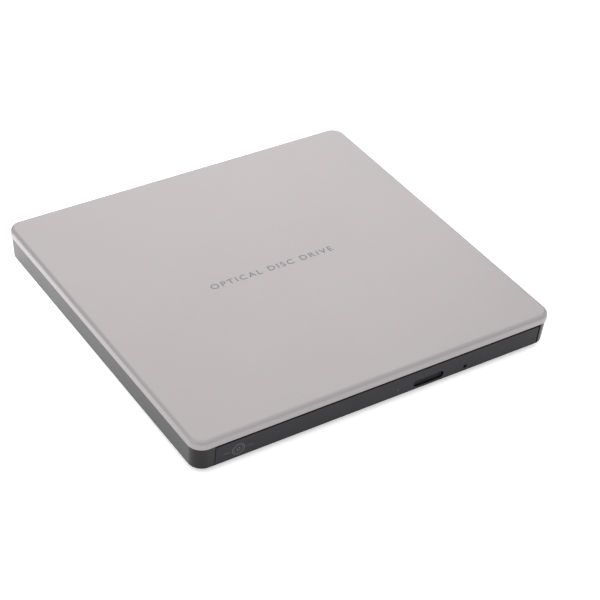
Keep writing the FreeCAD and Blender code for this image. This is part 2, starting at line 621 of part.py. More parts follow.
# ---------------------------------------------------------------- traverse, in the feed frame
def traverse_frame():
    """Cast frame that carries motors, shafts and the pickup, hung on four ears."""
    (x0, x1), (y0, y1), (z0, z1) = FRAME_X, FRAME_Y, FRAME_Z
    c = 3.0
    outline = [(x0 + c, y0), (x1 - c, y0), (x1, y0 + c), (x1, y1 - c), (x1 - c, y1),
               (x0 + c, y1), (x0, y1 - c), (x0, y0 + c)]
    body = plate(outline, z0, z1)
    ears = [rod(x, y, z0, z1, 3.1) for x, y in DAMPERS]
    ears += [block(x, y * 0.9, 3.1, 1.5, z0, z1) for x, y in DAMPERS]
    opening = box(13.0, 66.5, -16.9, 14.6, z0 - 1, z1 + 1)
    cuts = [rod(0, 0, z0 - 1, z1 + 1, HOLE_R), opening]
    cuts += [rod(x, y, z0 - 1, z1 + 1, 1.95) for x, y in DAMPERS]
    cuts += [rod_x(MAIN_Y, SHAFT_Z, 10.2, 67.8, SHAFT_R + 0.01),
             rod_x(SUB_Y, SHAFT_Z, 10.2, 67.8, SHAFT_R + 0.01),
             rod_x(SCREW_Y, SCREW_Z, 11.2, 13.5, 0.5)]
    return to_feed(all_cut(joined(body, *ears), *cuts))


def traverse_dampers():
    """Four rubber grommets between the frame and the tray."""
    z0, z1 = FRAME_Z
    made = []
    for x, y in DAMPERS:
        body = joined(rod(x, y, z0, z1, 1.9), rod(x, y, 3.95, z0, 2.7), rod(x, y, z1, DECK_Z, 2.7))
        made.append(to_feed(all_cut(body, rod(x, y, 3, 9, 0.85))))
    return Part.makeCompound(made)


def traverse_screws():
    """Shouldered screws that hold the grommets to the tray's deck."""
    return Part.makeCompound([to_feed(screw(x, y, 3.48, 1.9, 0.45, 0.8, 8.2)) for x, y in DAMPERS])


def traverse_cover():
    """Sheet cover level with the recess floor, open round the turntable and along the pickup's way."""
    z0, z1 = 8.2, RECESS_Z
    body = box(-19.6, 65.6, -17.2, 17.2, z0, z1)
    upright = [e for e in body.Edges if e.BoundBox.ZLength > 0.3 and e.BoundBox.XLength < 0.01
               and e.BoundBox.YLength < 0.01]
    body = body.makeFillet(2.0, upright)
    slot = box(8.0, 62.5, -9.0, 9.0, z0 - 1, z1 + 1)
    return to_feed(all_cut(body, rod(0, 0, z0 - 1, z1 + 1, HOLE_R), slot))


def guide_shafts():
    """Two ground steel shafts across the frame."""
    return Part.makeCompound([to_feed(rod_x(y, SHAFT_Z, 10.2, 67.8, SHAFT_R)) for y in (MAIN_Y, SUB_Y)])


def spindle_base():
    """Motor plate under the frame, with the bearing tube and the stator."""
    lower = FRAME_Z[0]
    plate_part = box(-16.0, 9.8, -13.0, 13.0, lower - 0.6, lower)
    tube = rod(0, 0, lower - 0.6, 7.6, 2.6)
    stator = ring(0, 0, 5.0, 6.8, 9.6, 2.6)
    return to_feed(all_cut(joined(plate_part, tube, stator), rod(0, 0, 4.0, 9.0, 1.03)))


def spindle_rotor():
    """Cup-shaped rotor with its shaft; the turntable is its top."""
    cup = rod(0, SPINDLE_Y, 4.7, 8.4, ROTOR_R).cut(rod(0, SPINDLE_Y, 4.0, 7.7, ROTOR_R - 0.8))
    shaft = rod(0, SPINDLE_Y, 4.1, 8.0, SHAFT_R)
    return joined(cup, shaft)


def turntable_ring():
    """Rubber ring that a disc sits on."""
    return ring(0, SPINDLE_Y, 8.4, SEAT_Z, 12.3, 9.0)


def disc_hub():
    """Centring hub with a chamfered rim and pockets for the clamp balls."""
    body = rod(0, SPINDLE_Y, 8.4, 10.5, HUB_R)
    body = body.makeChamfer(0.5, [e for e in body.Edges if e.BoundBox.ZMin > 10.49])
    dish = rod(0, SPINDLE_Y, 9.9, 11.0, 4.2)
    slots = []
    for i in range(3):
        slot = box(4.9, 8.0, -0.8, 0.8, 9.3, 9.95)
        slot.rotate(Vec(0, 0, 0), Vec(0, 0, 1), 120 * i + 90)
        slot.translate(Vec(0, SPINDLE_Y, 0))
        slots.append(slot)
    return all_cut(body, dish, *slots)


def clamp_jaws():
    """Three sprung jaws that hold the disc's rim on the hub."""
    made = []
    for i in range(3):
        jaw = box(4.95, 7.2, -0.7, 0.7, 9.35, 9.9)
        jaw = joined(jaw, rod_y(7.2, 9.625, -0.7, 0.7, 0.27))
        jaw.rotate(Vec(0, 0, 0), Vec(0, 0, 1), 120 * i + 90)
        jaw.translate(Vec(0, SPINDLE_Y, 0))
        made.append(jaw)
    return Part.makeCompound(made)


def sled_motor():
    """Small stepping motor on the lead screw's axis."""
    body = rod_x(SCREW_Y, SCREW_Z, 56.5, 66.0, 1.8)
    return to_feed(all_cut(body, rod_x(SCREW_Y, SCREW_Z, 56.0, 58.0, 0.5)))


def lead_screw():
    """Threaded shaft that moves the pickup, drawn with its thread as grooves."""
    shaft = rod_x(SCREW_Y, SCREW_Z, 13.4, 56.2, SCREW_R)
    ends = [rod_x(SCREW_Y, SCREW_Z, 11.4, 13.4, 0.45), rod_x(SCREW_Y, SCREW_Z, 56.2, 57.8, 0.45)]
    return to_feed(joined(shaft, *ends))


def pickup_carriage():
    """Cast sled with two bushings on the main shaft and a fork on the other."""
    body = box(15.0, 32.0, -9.4, 11.0, 3.8, 7.2)
    body = body.makeChamfer(0.8, [e for e in body.Edges if e.BoundBox.ZLength > 3])
    bushes = [box(13.9, 17.5, -12.6, -9.0, 3.7, 6.7), box(28.4, 32.0, -12.6, -9.0, 3.7, 6.7)]
    fork = box(20.0, 26.0, 10.5, 14.2, 3.8, 6.9)
    pocket = box(19.5, 28.5, -7.2, 7.2, 4.4, 8.0)
    cuts = [rod_x(MAIN_Y, SHAFT_Z, 13.0, 33.0, SHAFT_R + 0.03), pocket,
            box(19.0, 27.0, 12.0, 15.0, SHAFT_Z - 1.05, SHAFT_Z + 1.05),
            rod_x(9.2, 5.5, 28.0, 33.0, 1.25)]
    return to_feed(all_cut(joined(body, *bushes, fork), *cuts))


def pickup_cover():
    """Thin stamped cover on the carriage, open round the actuator."""
    body = box(15.6, 31.4, -8.6, 10.4, 7.2, 7.35)
    return to_feed(all_cut(body, box(19.5, 28.5, -7.2, 7.2, 7, 8)))


def actuator_magnets():
    """Two magnets on their yoke inside the carriage's pocket."""
    yoke = box(20.0, 28.0, -7.1, 7.1, 4.4, 4.7)
    return to_feed(joined(yoke, box(21, 27, 5.3, 7.0, 4.7, 7.5), box(21, 27, -7.0, -5.3, 4.7, 7.5)))


def laser_diode():
    """Can of the laser in the carriage's side bore."""
    return to_feed(rod_x(9.2, 5.5, 29.0, 31.8, 1.2))


def feed_nut():
    """Nut on the lead screw, joined to the sled's bushing."""
    nut = box(14.2, 17.2, -16.3, -13.6, 4.0, 6.7)
    arm = box(14.2, 17.2, -13.6, -12.6, 4.6, 6.0)
    return to_feed(all_cut(joined(nut, arm), rod_x(SCREW_Y, SCREW_Z, 14, 18, SCREW_R + 0.05)))


def lens_holder():
    """Moving block of the lens actuator with its bore."""
    body = box(LENS_X0 - 2.6, LENS_X0 + 2.6, -3.4, 3.4, 5.7, 7.5)
    seat = rod(LENS_X0, 0, 7.4, 7.8, 2.3)
    bore = joined(rod(LENS_X0, 0, 5, 7.0, 1.3), rod(LENS_X0, 0, 7.0, 9.0, 1.8))
    return to_feed(all_cut(joined(body, seat), bore))


def objective_lens():
    """Small domed lens in the holder."""
    flange = rod(LENS_X0, 0, 7.0, 7.45, 1.78)
    radius = 2.2
    dome = Part.makeSphere(radius, Vec(LENS_X0, 0, 7.95 - radius))
    dome = dome.common(rod(LENS_X0, 0, 7.3, 9, 1.5))
    return to_feed(joined(flange, dome))


def focus_coils():
    """Flat coils on the holder's two sides, facing the magnets."""
    loop = box(21.6, 26.4, 3.4, 4.1, 5.8, 7.4).cut(box(22.6, 25.4, 3.0, 5.0, 6.3, 6.9))
    return Part.makeCompound([to_feed(loop), to_feed(loop.mirror(Vec(0, 0, 0), Vec(0, 1, 0)))])


PARTS = {
    "top_cover": top_cover,
    "base_shell": base_shell,
    "rubber_feet": rubber_feet,
    "case_screws": case_screws,
    "underside_label": underside_label,
    "chassis_pan": chassis_pan,
    "chassis_lid": chassis_lid,
    "chassis_screws": chassis_screws,
    "right_rail_guide": right_rail_guide,
    "left_rail_guide": lambda: mirrored(right_rail_guide()),
    "right_slide_rail": right_slide_rail,
    "left_slide_rail": lambda: mirrored(right_slide_rail()),
    "lock_pin": lock_pin,
    "main_board": main_board,
    "board_screws": board_screws,
    "board_chips": board_chips,
    "quartz_crystal": quartz_crystal,
    "usb_socket": usb_socket,
    "usb_tongue": usb_tongue,
    "usb_contacts": usb_contacts,
    "flex_connector": flex_connector,
    "tray_flex_cable": tray_flex_cable,
    "disc_tray": disc_tray,
    "tray_surround": tray_surround,
    "tray_bezel": tray_bezel,
    "eject_button": eject_button,
    "light_pipe": light_pipe,
    "status_led": status_led,
    "eject_switch": eject_switch,
    "front_board": front_board,
    "tray_under_cover": tray_under_cover,
    "tray_connector": tray_connector,
    "ejector_pusher": ejector_pusher,
    "ejector_spring": ejector_spring,
    "lever_pivot": lever_pivot,
    "lock_lever": lock_lever,
    "lock_spring": lock_spring,
    "solenoid": solenoid,
    "solenoid_plunger": solenoid_plunger,
    "emergency_slider": emergency_slider,
    "traverse_frame": traverse_frame,
    "traverse_dampers": traverse_dampers,
    "traverse_screws": traverse_screws,
    "traverse_cover": traverse_cover,
    "guide_shafts": guide_shafts,
    "spindle_base": spindle_base,
    "spindle_rotor": spindle_rotor,
    "turntable_ring": turntable_ring,
    "disc_hub": disc_hub,
    "clamp_jaws": clamp_jaws,
    "sled_motor": sled_motor,
    "lead_screw": lead_screw,
    "pickup_carriage": pickup_carriage,
    "pickup_cover": pickup_cover,
    "actuator_magnets": actuator_magnets,
    "laser_diode": laser_diode,
    "feed_nut": feed_nut,
    "lens_holder": lens_holder,
    "objective_lens": objective_lens,
    "focus_coils": focus_coils,
}

os.makedirs("parts", exist_ok=True)
for name, build in PARTS.items():
    shape = build()
    shape.exportStep("parts/" + name + ".step")
    print(name, len(shape.Solids), "solid" if shape.isValid() else "NOT VALID", round(shape.Volume, 1))
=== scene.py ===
"""Looks of a slim portable disc drive with a sprayed silver lid over a black case.

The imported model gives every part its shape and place. This script dresses each part in the finish
that its real counterpart has, models the few pieces that only the eye needs, and sets up a plain
studio. All lengths are in metres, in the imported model's frame: the origin is the centre of the
footprint, +Z is up and the tray opens towards -Y.
"""

import logging
import math
from collections.abc import Callable
from dataclasses import dataclass
from enum import Enum

import bmesh
import bpy
from mathutils import Matrix, Vector


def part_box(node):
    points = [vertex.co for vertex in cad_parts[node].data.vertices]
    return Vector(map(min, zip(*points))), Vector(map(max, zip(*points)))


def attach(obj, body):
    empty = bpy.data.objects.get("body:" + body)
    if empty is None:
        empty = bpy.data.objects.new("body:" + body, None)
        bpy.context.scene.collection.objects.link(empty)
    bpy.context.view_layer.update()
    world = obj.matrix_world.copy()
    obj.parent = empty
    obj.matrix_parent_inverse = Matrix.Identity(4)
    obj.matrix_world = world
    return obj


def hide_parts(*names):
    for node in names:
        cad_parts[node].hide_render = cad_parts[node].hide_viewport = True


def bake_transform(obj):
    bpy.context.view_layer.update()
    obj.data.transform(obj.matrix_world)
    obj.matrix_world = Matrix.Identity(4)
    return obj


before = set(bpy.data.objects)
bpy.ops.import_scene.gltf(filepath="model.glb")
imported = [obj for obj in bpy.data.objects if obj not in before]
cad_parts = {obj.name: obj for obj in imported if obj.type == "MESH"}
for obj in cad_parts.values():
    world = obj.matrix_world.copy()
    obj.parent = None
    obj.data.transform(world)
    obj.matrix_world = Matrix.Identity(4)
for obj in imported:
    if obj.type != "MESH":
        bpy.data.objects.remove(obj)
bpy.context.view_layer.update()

LOG = logging.getLogger("disc_drive")
MM = 0.001
NOISE_SPAN = (0.3, 0.7)  # most of a noise pattern lies between these levels


# ---------- materials

def linear(code: str, alpha: float = 1.0) -> tuple[float, float, float, float]:
    """Turns an sRGB hex colour into the linear values that a shader takes.

    Args:
        code: Six hex digits, such as "C3BEBE".
        alpha: Opacity to carry along.

    Returns:
        Red, green, blue and alpha, each from 0 to 1.
    """
    parts = [int(code[i:i + 2], 16) / 255.0 for i in (0, 2, 4)]
    r, g, b = (c / 12.92 if c <= 0.04045 else ((c + 0.055) / 1.055) ** 2.4 for c in parts)
    return (r, g, b, alpha)


def add_node(tree: bpy.types.NodeTree, kind: str, settings: dict | None = None) -> bpy.types.Node:
    """Adds a shader node and fills in its inputs.

    Args:
        tree: The material's node tree.
        kind: The node's type name.
        settings: Values or output sockets by input name or index, or values by attribute name.

    Returns:
        The new node.
    """
    node = tree.nodes.new(kind)
    for key, value in (settings or {}).items():
        if isinstance(value, bpy.types.NodeSocket):
            tree.links.new(value, node.inputs[key])
        elif isinstance(key, int) or key in node.inputs:
            node.inputs[key].default_value = value
        else:
            setattr(node, key, value)
    return node


def grain_scale(size_mm: float) -> float:
    """Noise or cell scale whose features are about size_mm across."""
    return 1.0 / (size_mm * MM)


def band_scale(pitch_mm: float) -> float:
    """Wave scale whose bands repeat every pitch_mm."""
    return math.pi / 10.0 / (pitch_mm * MM)


@dataclass(frozen=True)
class Canvas:
    """The nodes of one material, with the steps that patterns are made of.

    Attributes:
        tree: The material's node tree.
        shader: Its surface shader.
        place: Object coordinates.
    """

    tree: bpy.types.NodeTree
    shader: bpy.types.Node
    place: bpy.types.NodeSocket

    def add(self, kind: str, settings: dict) -> bpy.types.Node:
        """Adds a shader node, its kind named without the common prefix."""
        return add_node(self.tree, f"ShaderNode{kind}", settings)

    def feed(self, socket: bpy.types.NodeSocket, name: str) -> None:
        """Links a socket to one of the shader's inputs."""
        self.tree.links.new(socket, self.shader.inputs[name])

    def noise(self, size_mm: float, detail: float, **settings: object) -> bpy.types.NodeSocket:
        """Noise whose features are about size_mm across."""
        return self.add("TexNoise", {"Scale": grain_scale(size_mm), "Detail": detail,
                                     "Vector": self.place, **settings}).outputs["Fac"]

    def cells(self, size_mm: float, **settings: object) -> bpy.types.NodeOutputs:
        """Random levels for each cell of about size_mm."""
        cells = self.add("TexVoronoi", {"Scale": grain_scale(size_mm), "Vector": self.place,
                                        **settings})
        return self.add("SeparateColor", {0: cells.outputs["Color"]}).outputs

    def waves(self, pitch_mm: float, axis: str, **settings: object) -> bpy.types.NodeSocket:
        """Even bands that follow each other along an axis."""
        return self.add("TexWave", {"bands_direction": axis, "Scale": band_scale(pitch_mm),
                                    "Vector": self.place, **settings}).outputs["Fac"]

    def turned(self, turn_deg: float, stretch: float = 1.0) -> bpy.types.NodeSocket:
        """Coordinates turned about +Z, with patterns stretched along their X."""
        return self.add("Mapping", {
            "Rotation": (0.0, 0.0, -math.radians(turn_deg)), "Scale": (1.0 / stretch, 1.0, 1.0),
            "Vector": self.place}).outputs["Vector"]

    def ramp(self, level: bpy.types.NodeSocket, low: float, high: float, start: float = 0.0,
             end: float = 1.0, **settings: object) -> bpy.types.NodeSocket:
        """Maps a level from the range low to high onto start to end."""
        return self.add("MapRange", {"From Min": low, "From Max": high, "To Min": start,
                                     "To Max": end, "Value": level, **settings}).outputs["Result"]

    def total(self, first: bpy.types.NodeSocket, second: bpy.types.NodeSocket,
              share: float = 1.0) -> bpy.types.NodeSocket:
        """Adds a share of the first level to the second."""
        return self.add("Math", {"operation": "MULTIPLY_ADD", 0: first, 1: share,
                                 2: second}).outputs["Value"]

    def paint(self, settings: dict) -> None:
        """Feeds the shader's colour from a mix of two colours."""
        mix = self.add("Mix", {"data_type": "RGBA", **settings})
        self.feed(mix.outputs[2], "Base Color")

    def bump(self, height: bpy.types.NodeSocket, relief_mm: float) -> None:
        """Raises the surface by a level, at its real height."""
        bump = self.add("Bump", {"Strength": 1.0, "Distance": relief_mm * MM, "Height": height})
        self.feed(bump.outputs["Normal"], "Normal")


@dataclass(frozen=True)
class Finish:
    """A surface as its maker leaves it: base values, plus grain and relief worked from real sizes.

    Attributes:
        name: Common name and process, which names the material.
        colour: sRGB hex of the surface.
        roughness: Microscopic roughness of the shader.
        metallic: 1 for bare metal, 0 for plastic, between for flake paints.
        ior: Index of refraction of a surface that isn't metal.
        grain_mm: Width of the finest grain.
        relief_mm: Height of that grain.
        wander_mm: Width of the slow change in tone and gloss across the part.
        tone: How far the colour swings, as a share.
        gloss_swing: How far the roughness swings.
        coat: Weight of a clear coat.
    """

    name: str
    colour: str
    roughness: float = 0.5
    metallic: float = 0.0
    ior: float = 1.5
    grain_mm: float = 0.25
    relief_mm: float = 0.004
    wander_mm: float = 18.0
    tone: float = 0.06
    gloss_swing: float = 0.08
    coat: float = 0.0

    def material(self) -> bpy.types.Material:
        """Builds the material once and hands out the same one after that.

        Returns:
            The finished material.
        """
        known = bpy.data.materials.get(self.name)
        if known is not None:
            return known
        made = bpy.data.materials.new(self.name)
        made.use_nodes = True
        tree = made.node_tree
        tree.nodes.clear()
        shader = add_node(tree, "ShaderNodeBsdfPrincipled", {
            "Base Color": linear(self.colour), "Roughness": self.roughness,
            "Metallic": self.metallic, "Coat Weight": self.coat, "Coat Roughness": 0.08})
        if self.metallic < 0.5:
            shader.inputs["IOR"].default_value = self.ior
        add_node(tree, "ShaderNodeOutputMaterial", {"Surface": shader.outputs["BSDF"]})
        place = add_node(tree, "ShaderNodeTexCoord").outputs["Object"]
        self.pattern(Canvas(tree, shader, place))
        return made

    def pattern(self, canvas: Canvas) -> None:
        """Adds the surface's own variation; the common one is grain, slow tone and gloss.

        Args:
            canvas: The material's nodes.
        """
        self.tint(canvas)
        self.gloss(canvas)
        self.relief(canvas)

    def swing_tone(self, canvas: Canvas, level: bpy.types.NodeSocket, low: float = 0.0,
                   high: float = 1.0) -> None:
        """Lets a level swing the colour either way, darkest at low and brightest at high."""
        swing = canvas.ramp(level, low, high, 1.0 - self.tone, 1.0 + self.tone)
        canvas.paint({"blend_type": "MULTIPLY", "Factor": 1.0, 6: linear(self.colour), 7: swing})

    def swing_gloss(self, canvas: Canvas, level: bpy.types.NodeSocket, low: float = 0.0,
                    high: float = 1.0, share: float = 1.0) -> None:
        """Lets a level swing the roughness either way, glossiest at low, by a share of gloss_swing."""
        swing = self.gloss_swing * share
        canvas.feed(canvas.ramp(level, low, high, max(0.02, self.roughness - swing),
                                min(1.0, self.roughness + swing)), "Roughness")

    def tint(self, canvas: Canvas) -> None:
        """Colour that wanders slowly across the part, with fine specks."""
        level = canvas.total(canvas.noise(self.grain_mm, 1.0), canvas.noise(self.wander_mm, 2.0))
        self.swing_tone(canvas, level, 0.6, 1.4)

    def gloss(self, canvas: Canvas) -> None:
        """Roughness that drifts with handling and uneven moulding."""
        smear = canvas.noise(self.wander_mm * 0.45, 5.0, Roughness=0.6)
        self.swing_gloss(canvas, smear, *NOISE_SPAN, 0.5)

    def relief(self, canvas: Canvas) -> None:
        """Fine bumps at the grain's real width and height."""
        canvas.bump(canvas.noise(self.grain_mm, 3.0), self.relief_mm)


@dataclass(frozen=True)
class LitSweep(Finish):
    """White acrylic table lit from below, brighter towards one side, which empties the shadows.

    Attributes:
        glow: Light that the sheet gives off by itself under the object.
        rise: How much brighter it gets towards the back left.
        towards: Direction in which it brightens.
        start_m: How far along that direction it starts to brighten.
        reach_m: How far along that direction it is brightest.
    """

    glow: float = 0.42
    rise: float = 0.8
    towards: tuple[float, float, float] = (-0.6, 0.8, 0.0)
    start_m: float = -0.02
    reach_m: float = 0.13

    def pattern(self, canvas: Canvas) -> None:
        """A slow ramp of light across the sheet.

        Args:
            canvas: The material's nodes.
        """
        self.gloss(canvas)
        way = canvas.add("VectorMath", {"operation": "DOT_PRODUCT", 0: canvas.place, 1: self.towards})
        canvas.shader.inputs["Emission Color"].default_value = linear("FFFFFF")
        canvas.feed(canvas.ramp(way.outputs["Value"], self.start_m, self.reach_m, self.glow,
                                self.glow + self.rise, interpolation_type="SMOOTHSTEP"),
                    "Emission Strength")


@dataclass(frozen=True)
class FlakePaint(Finish):
    """Metallic lacquer sprayed on plastic: aluminium flakes that glint, under faint orange peel.

    Attributes:
        flake_mm: Width of a flake. Real ones are 0.03 mm; these are drawn coarser so that the
            sparkle still shows from afar.
        peel_mm: Width of the ripples in the lacquer.
    """

    flake_mm: float = 0.16
    peel_mm: float = 1.6

    def pattern(self, canvas: Canvas) -> None:
        """Flakes as small cells, each with its own brightness, on a gently rippled lacquer.

        Args:
            canvas: The material's nodes.
        """
        glint = canvas.cells(self.flake_mm)
        level = canvas.total(glint[0], canvas.noise(self.wander_mm, 2.0), 0.75)
        self.swing_tone(canvas, level, 0.3, 1.4)
        self.swing_gloss(canvas, glint[1])
        height = canvas.total(canvas.noise(self.grain_mm, 1.0), canvas.noise(self.peel_mm, 2.0), 0.35)
        canvas.bump(height, self.relief_mm)


@dataclass(frozen=True)
class RolledSteel(Finish):
    """Cold-rolled or ground metal, with fine lines left by the rolls or the stone.

    Attributes:
        turn_deg: Direction of the lines about +Z, from +X.
        stretch: How many times longer than wide a line is.
    """

    turn_deg: float = 0.0
    stretch: float = 40.0

    def pattern(self, canvas: Canvas) -> None:
        """Long thin streaks in gloss and height.

        Args:
            canvas: The material's nodes.
        """
        self.tint(canvas)
        lines = canvas.noise(self.grain_mm, 4.0, Vector=canvas.turned(self.turn_deg, self.stretch))
        self.swing_gloss(canvas, lines, *NOISE_SPAN, 0.5)
        canvas.bump(lines, self.relief_mm)


@dataclass(frozen=True)
class Galvanised(Finish):
    """Zinc-coated sheet, with the faint flower of its crystals.

    Attributes:
        flower_mm: Width of a crystal.
    """

    flower_mm: float = 5.0

    def pattern(self, canvas: Canvas) -> None:
        """Crystal cells that differ a little in tone and gloss.

        Args:
            canvas: The material's nodes.
        """
        level = canvas.cells(self.flower_mm)
        self.swing_tone(canvas, level[0])
        self.swing_gloss(canvas, level[1])
        self.relief(canvas)


@dataclass(frozen=True)
class Banded(Finish):
    """A surface with evenly spaced bands: ribbon conductors, and painted highlights on thread crests
    and on the turns of wound wire.

    Attributes:
        stripe_and_highlight_colour: sRGB hex of the bands: the conductors of a ribbon, a painted
            highlight on threads and wire.
        pitch_mm: Distance from one band to the next.
        axis: Direction in which the bands follow each other.
        turn_deg: Turn of that direction about +Z.
        cover: Share of the pitch that a band takes.
        blur: Softness of a band's edge.
    """

    stripe_and_highlight_colour: str = "9A9DA0"
    pitch_mm: float = 0.5
    axis: str = "X"
    turn_deg: float = 0.0
    cover: float = 0.5
    blur: float = 0.15

    def pattern(self, canvas: Canvas) -> None:
        """Two tones in step with a raised profile; on threads and wire the tone on the raised part is
        a painted highlight.

        Args:
            canvas: The material's nodes.
        """
        bands = canvas.waves(self.pitch_mm, self.axis, Vector=canvas.turned(self.turn_deg))
        step = canvas.ramp(bands, 1.0 - self.cover - self.blur, 1.0 - self.cover + self.blur)
        # Band tone: conductors on a ribbon, a painted highlight on the crests of threads and wire.
        canvas.paint({0: step, 6: linear(self.colour), 7: linear(self.stripe_and_highlight_colour)})
        self.gloss(canvas)
        canvas.bump(bands, self.relief_mm)


@dataclass(frozen=True)
class SolderMask(Finish):
    """Green lacquer over copper: tracks show as a lighter tone and stand slightly proud.

    Attributes:
        track_colour: sRGB hex of the lacquer over a track.
        track_mm: Distance from one track to the next.
        area_mm: Width of an area whose tracks all run one way.
    """

    track_colour: str = "2E7A48"
    track_mm: float = 0.9
    area_mm: float = 7.0

    def pattern(self, canvas: Canvas) -> None:
        """Tracks that run in steps between areas, as an etched layout does.

        Args:
            canvas: The material's nodes.
        """
        level = canvas.cells(self.area_mm, distance="CHEBYCHEV")[0]
        pick = canvas.add("Math", {"operation": "GREATER_THAN", 0: level, 1: 0.5})
        tracks = canvas.add("Mix", {"data_type": "FLOAT", 0: pick.outputs[0],
                                    2: canvas.waves(self.track_mm, "X"),
                                    3: canvas.waves(self.track_mm, "Y")})
        edge = canvas.ramp(tracks.outputs[0], 0.55, 0.7)
        canvas.paint({0: edge, 6: linear(self.colour), 7: linear(self.track_colour)})
        self.gloss(canvas)
        canvas.bump(edge, self.relief_mm)


@dataclass(frozen=True)
class ClearPlastic(Finish):
    """Cast or moulded transparent plastic or glass.

    Attributes:
        clarity: Share of the light that goes through.
    """

    clarity: float = 0.9

    def pattern(self, canvas: Canvas) -> None:
        """Light goes through; only the gloss varies."""
        canvas.shader.inputs["Transmission Weight"].default_value = self.clarity
        self.gloss(canvas)


# Silver flake lacquer on ABS: pale and slightly warm, soft wide highlights, fine sparkle.
SILVER_LACQUER = FlakePaint("silver_flake_lacquer", "928D8E", 0.40, 0.55, grain_mm=0.4,
                            relief_mm=0.0025, wander_mm=45.0, tone=0.035, gloss_swing=0.05)
# Black ABS from a polished mould: deep, wet-looking, mirrors the table in its walls.
POLISHED_ABS = Finish("polished_black_abs", "060508", 0.16, ior=1.33, grain_mm=0.6, relief_mm=0.0012,
                      wander_mm=30.0, tone=0.1, gloss_swing=0.1)
# Black ABS from a spark-eroded mould: fine even grain, soft grey sheen.
ERODED_ABS = Finish("spark_eroded_black_abs", "131116", 0.42, ior=1.3, grain_mm=0.22, relief_mm=0.010,
                    wander_mm=24.0, tone=0.1, gloss_swing=0.1)
# Black polycarbonate of the button: deeper and glossier than the panel round it.
BUTTON_PC = Finish("black_button_polycarbonate", "050506", 0.3, ior=1.3, grain_mm=0.3, relief_mm=0.002,
                   wander_mm=6.0, tone=0.1, gloss_swing=0.08)
# Dark grey moulded tray: a little lighter than the bezel, matt, with flow marks.
TRAY_ABS = Finish("moulded_charcoal_abs", "1E1F21", 0.5, grain_mm=0.3, relief_mm=0.008,
                  wander_mm=26.0, tone=0.12, gloss_swing=0.12)
# Die-cut black foot rubber: very matt, dusty.
FOOT_RUBBER = Finish("black_foot_rubber", "1B1B1B", 0.86, ior=1.52, grain_mm=0.35, relief_mm=0.02,
                     wander_mm=4.0, tone=0.2, gloss_swing=0.1)
# Bright zinc plate on small screws: faintly bluish, semi-bright.
ZINC_PLATE = Finish("bright_zinc_plate", "B4B8BC", 0.28, 1.0, grain_mm=0.3, relief_mm=0.002,
                    wander_mm=2.0, tone=0.08, gloss_swing=0.12)
# Galvanised sheet steel of the chassis: grey with faint crystal flower.
CHASSIS_SHEET = Galvanised("galvanised_sheet", "A9ADB0", 0.36, 1.0, grain_mm=0.5, relief_mm=0.002,
                           tone=0.07, gloss_swing=0.06)
# Drawn rail steel: lines along the travel.
RAIL_STEEL = RolledSteel("drawn_rail_steel", "A7AAAD", 0.3, 1.0, grain_mm=0.15, relief_mm=0.002,
                         tone=0.05, gloss_swing=0.14, turn_deg=90.0)
# Ground shaft steel: bright, with lines round the shaft.
GROUND_STEEL = Finish("ground_shaft_steel", "C9CBCD", 0.14, 1.0, grain_mm=0.2, relief_mm=0.001,
                      tone=0.04, gloss_swing=0.06)
# Rolled thread: crests painted lighter and roots darker in even steps, a painted highlight and painted
# shade.
THREADED_STEEL = Banded("rolled_thread_steel", "8E9194", 0.22, 1.0, relief_mm=0.12,
                        stripe_and_highlight_colour="D6D8DA", pitch_mm=1.5, turn_deg=225.0)
SPRING_WIRE = RolledSteel("music_wire", "8B8D90", 0.26, 1.0, grain_mm=0.1, relief_mm=0.001)
# Nickel plate: slightly yellow, bright, over pressed sheet.
NICKEL_PLATE = Finish("nickel_plate", "C4C1B8", 0.2, 1.0, grain_mm=0.4, relief_mm=0.002,
                      wander_mm=5.0, tone=0.05, gloss_swing=0.1)
GOLD_FLASH = Finish("gold_flash", "D9AE5B", 0.22, 1.0, grain_mm=0.2, relief_mm=0.001,
                    wander_mm=2.0, tone=0.06)
# Natural acetal: translucent off-white, waxy.
ACETAL = Finish("natural_acetal", "D9D7CC", 0.42, ior=1.48, grain_mm=0.4, relief_mm=0.004,
                wander_mm=9.0, tone=0.03, gloss_swing=0.1)
BLACK_NYLON = Finish("glass_filled_nylon", "1A1A1B", 0.55, ior=1.53, grain_mm=0.18, relief_mm=0.010,
                     wander_mm=6.0, tone=0.15, gloss_swing=0.14)
CHIP_EPOXY = Finish("moulded_epoxy", "161719", 0.5, ior=1.55, grain_mm=0.12, relief_mm=0.006,
                    wander_mm=8.0, tone=0.1, gloss_swing=0.08)
GREEN_MASK = SolderMask("green_solder_mask", "14512B", 0.26, relief_mm=0.03,
                        wander_mm=14.0, gloss_swing=0.08)
RIBBON_FILM = Banded("polyester_ribbon", "E6E7E8", 0.3, relief_mm=0.03, stripe_and_highlight_colour="A3A7AB",
                     cover=0.55)
# Smoked acrylic: looks black while the lamp behind it is off.
SMOKED_ACRYLIC = ClearPlastic("smoked_acrylic", "1A1C1B", 0.18, ior=1.4, wander_mm=1.5,
                              gloss_swing=0.06, clarity=0.25)
LENS_GLASS = ClearPlastic("coated_lens", "C9D6F2", 0.04, ior=1.6, wander_mm=2.0, gloss_swing=0.02,
                          clarity=0.7)
LED_EPOXY = ClearPlastic("tinted_led_epoxy", "A8D8B0", 0.15, ior=1.54, wander_mm=1.0, clarity=0.5)
MAGNET_PLATE = Finish("nickelled_magnet", "8F9092", 0.24, 1.0, grain_mm=0.2, relief_mm=0.002,
                      wander_mm=3.0)
# Enamelled copper winding: each turn painted as a light band beside a dark one, a painted highlight on
# the wire's crown and painted shade between turns.
COPPER_WIRE = Banded("enamelled_copper_winding", "7A3A18", 0.3, 0.6, relief_mm=0.06,
                     stripe_and_highlight_colour="C8703A", pitch_mm=0.24, axis="Z")
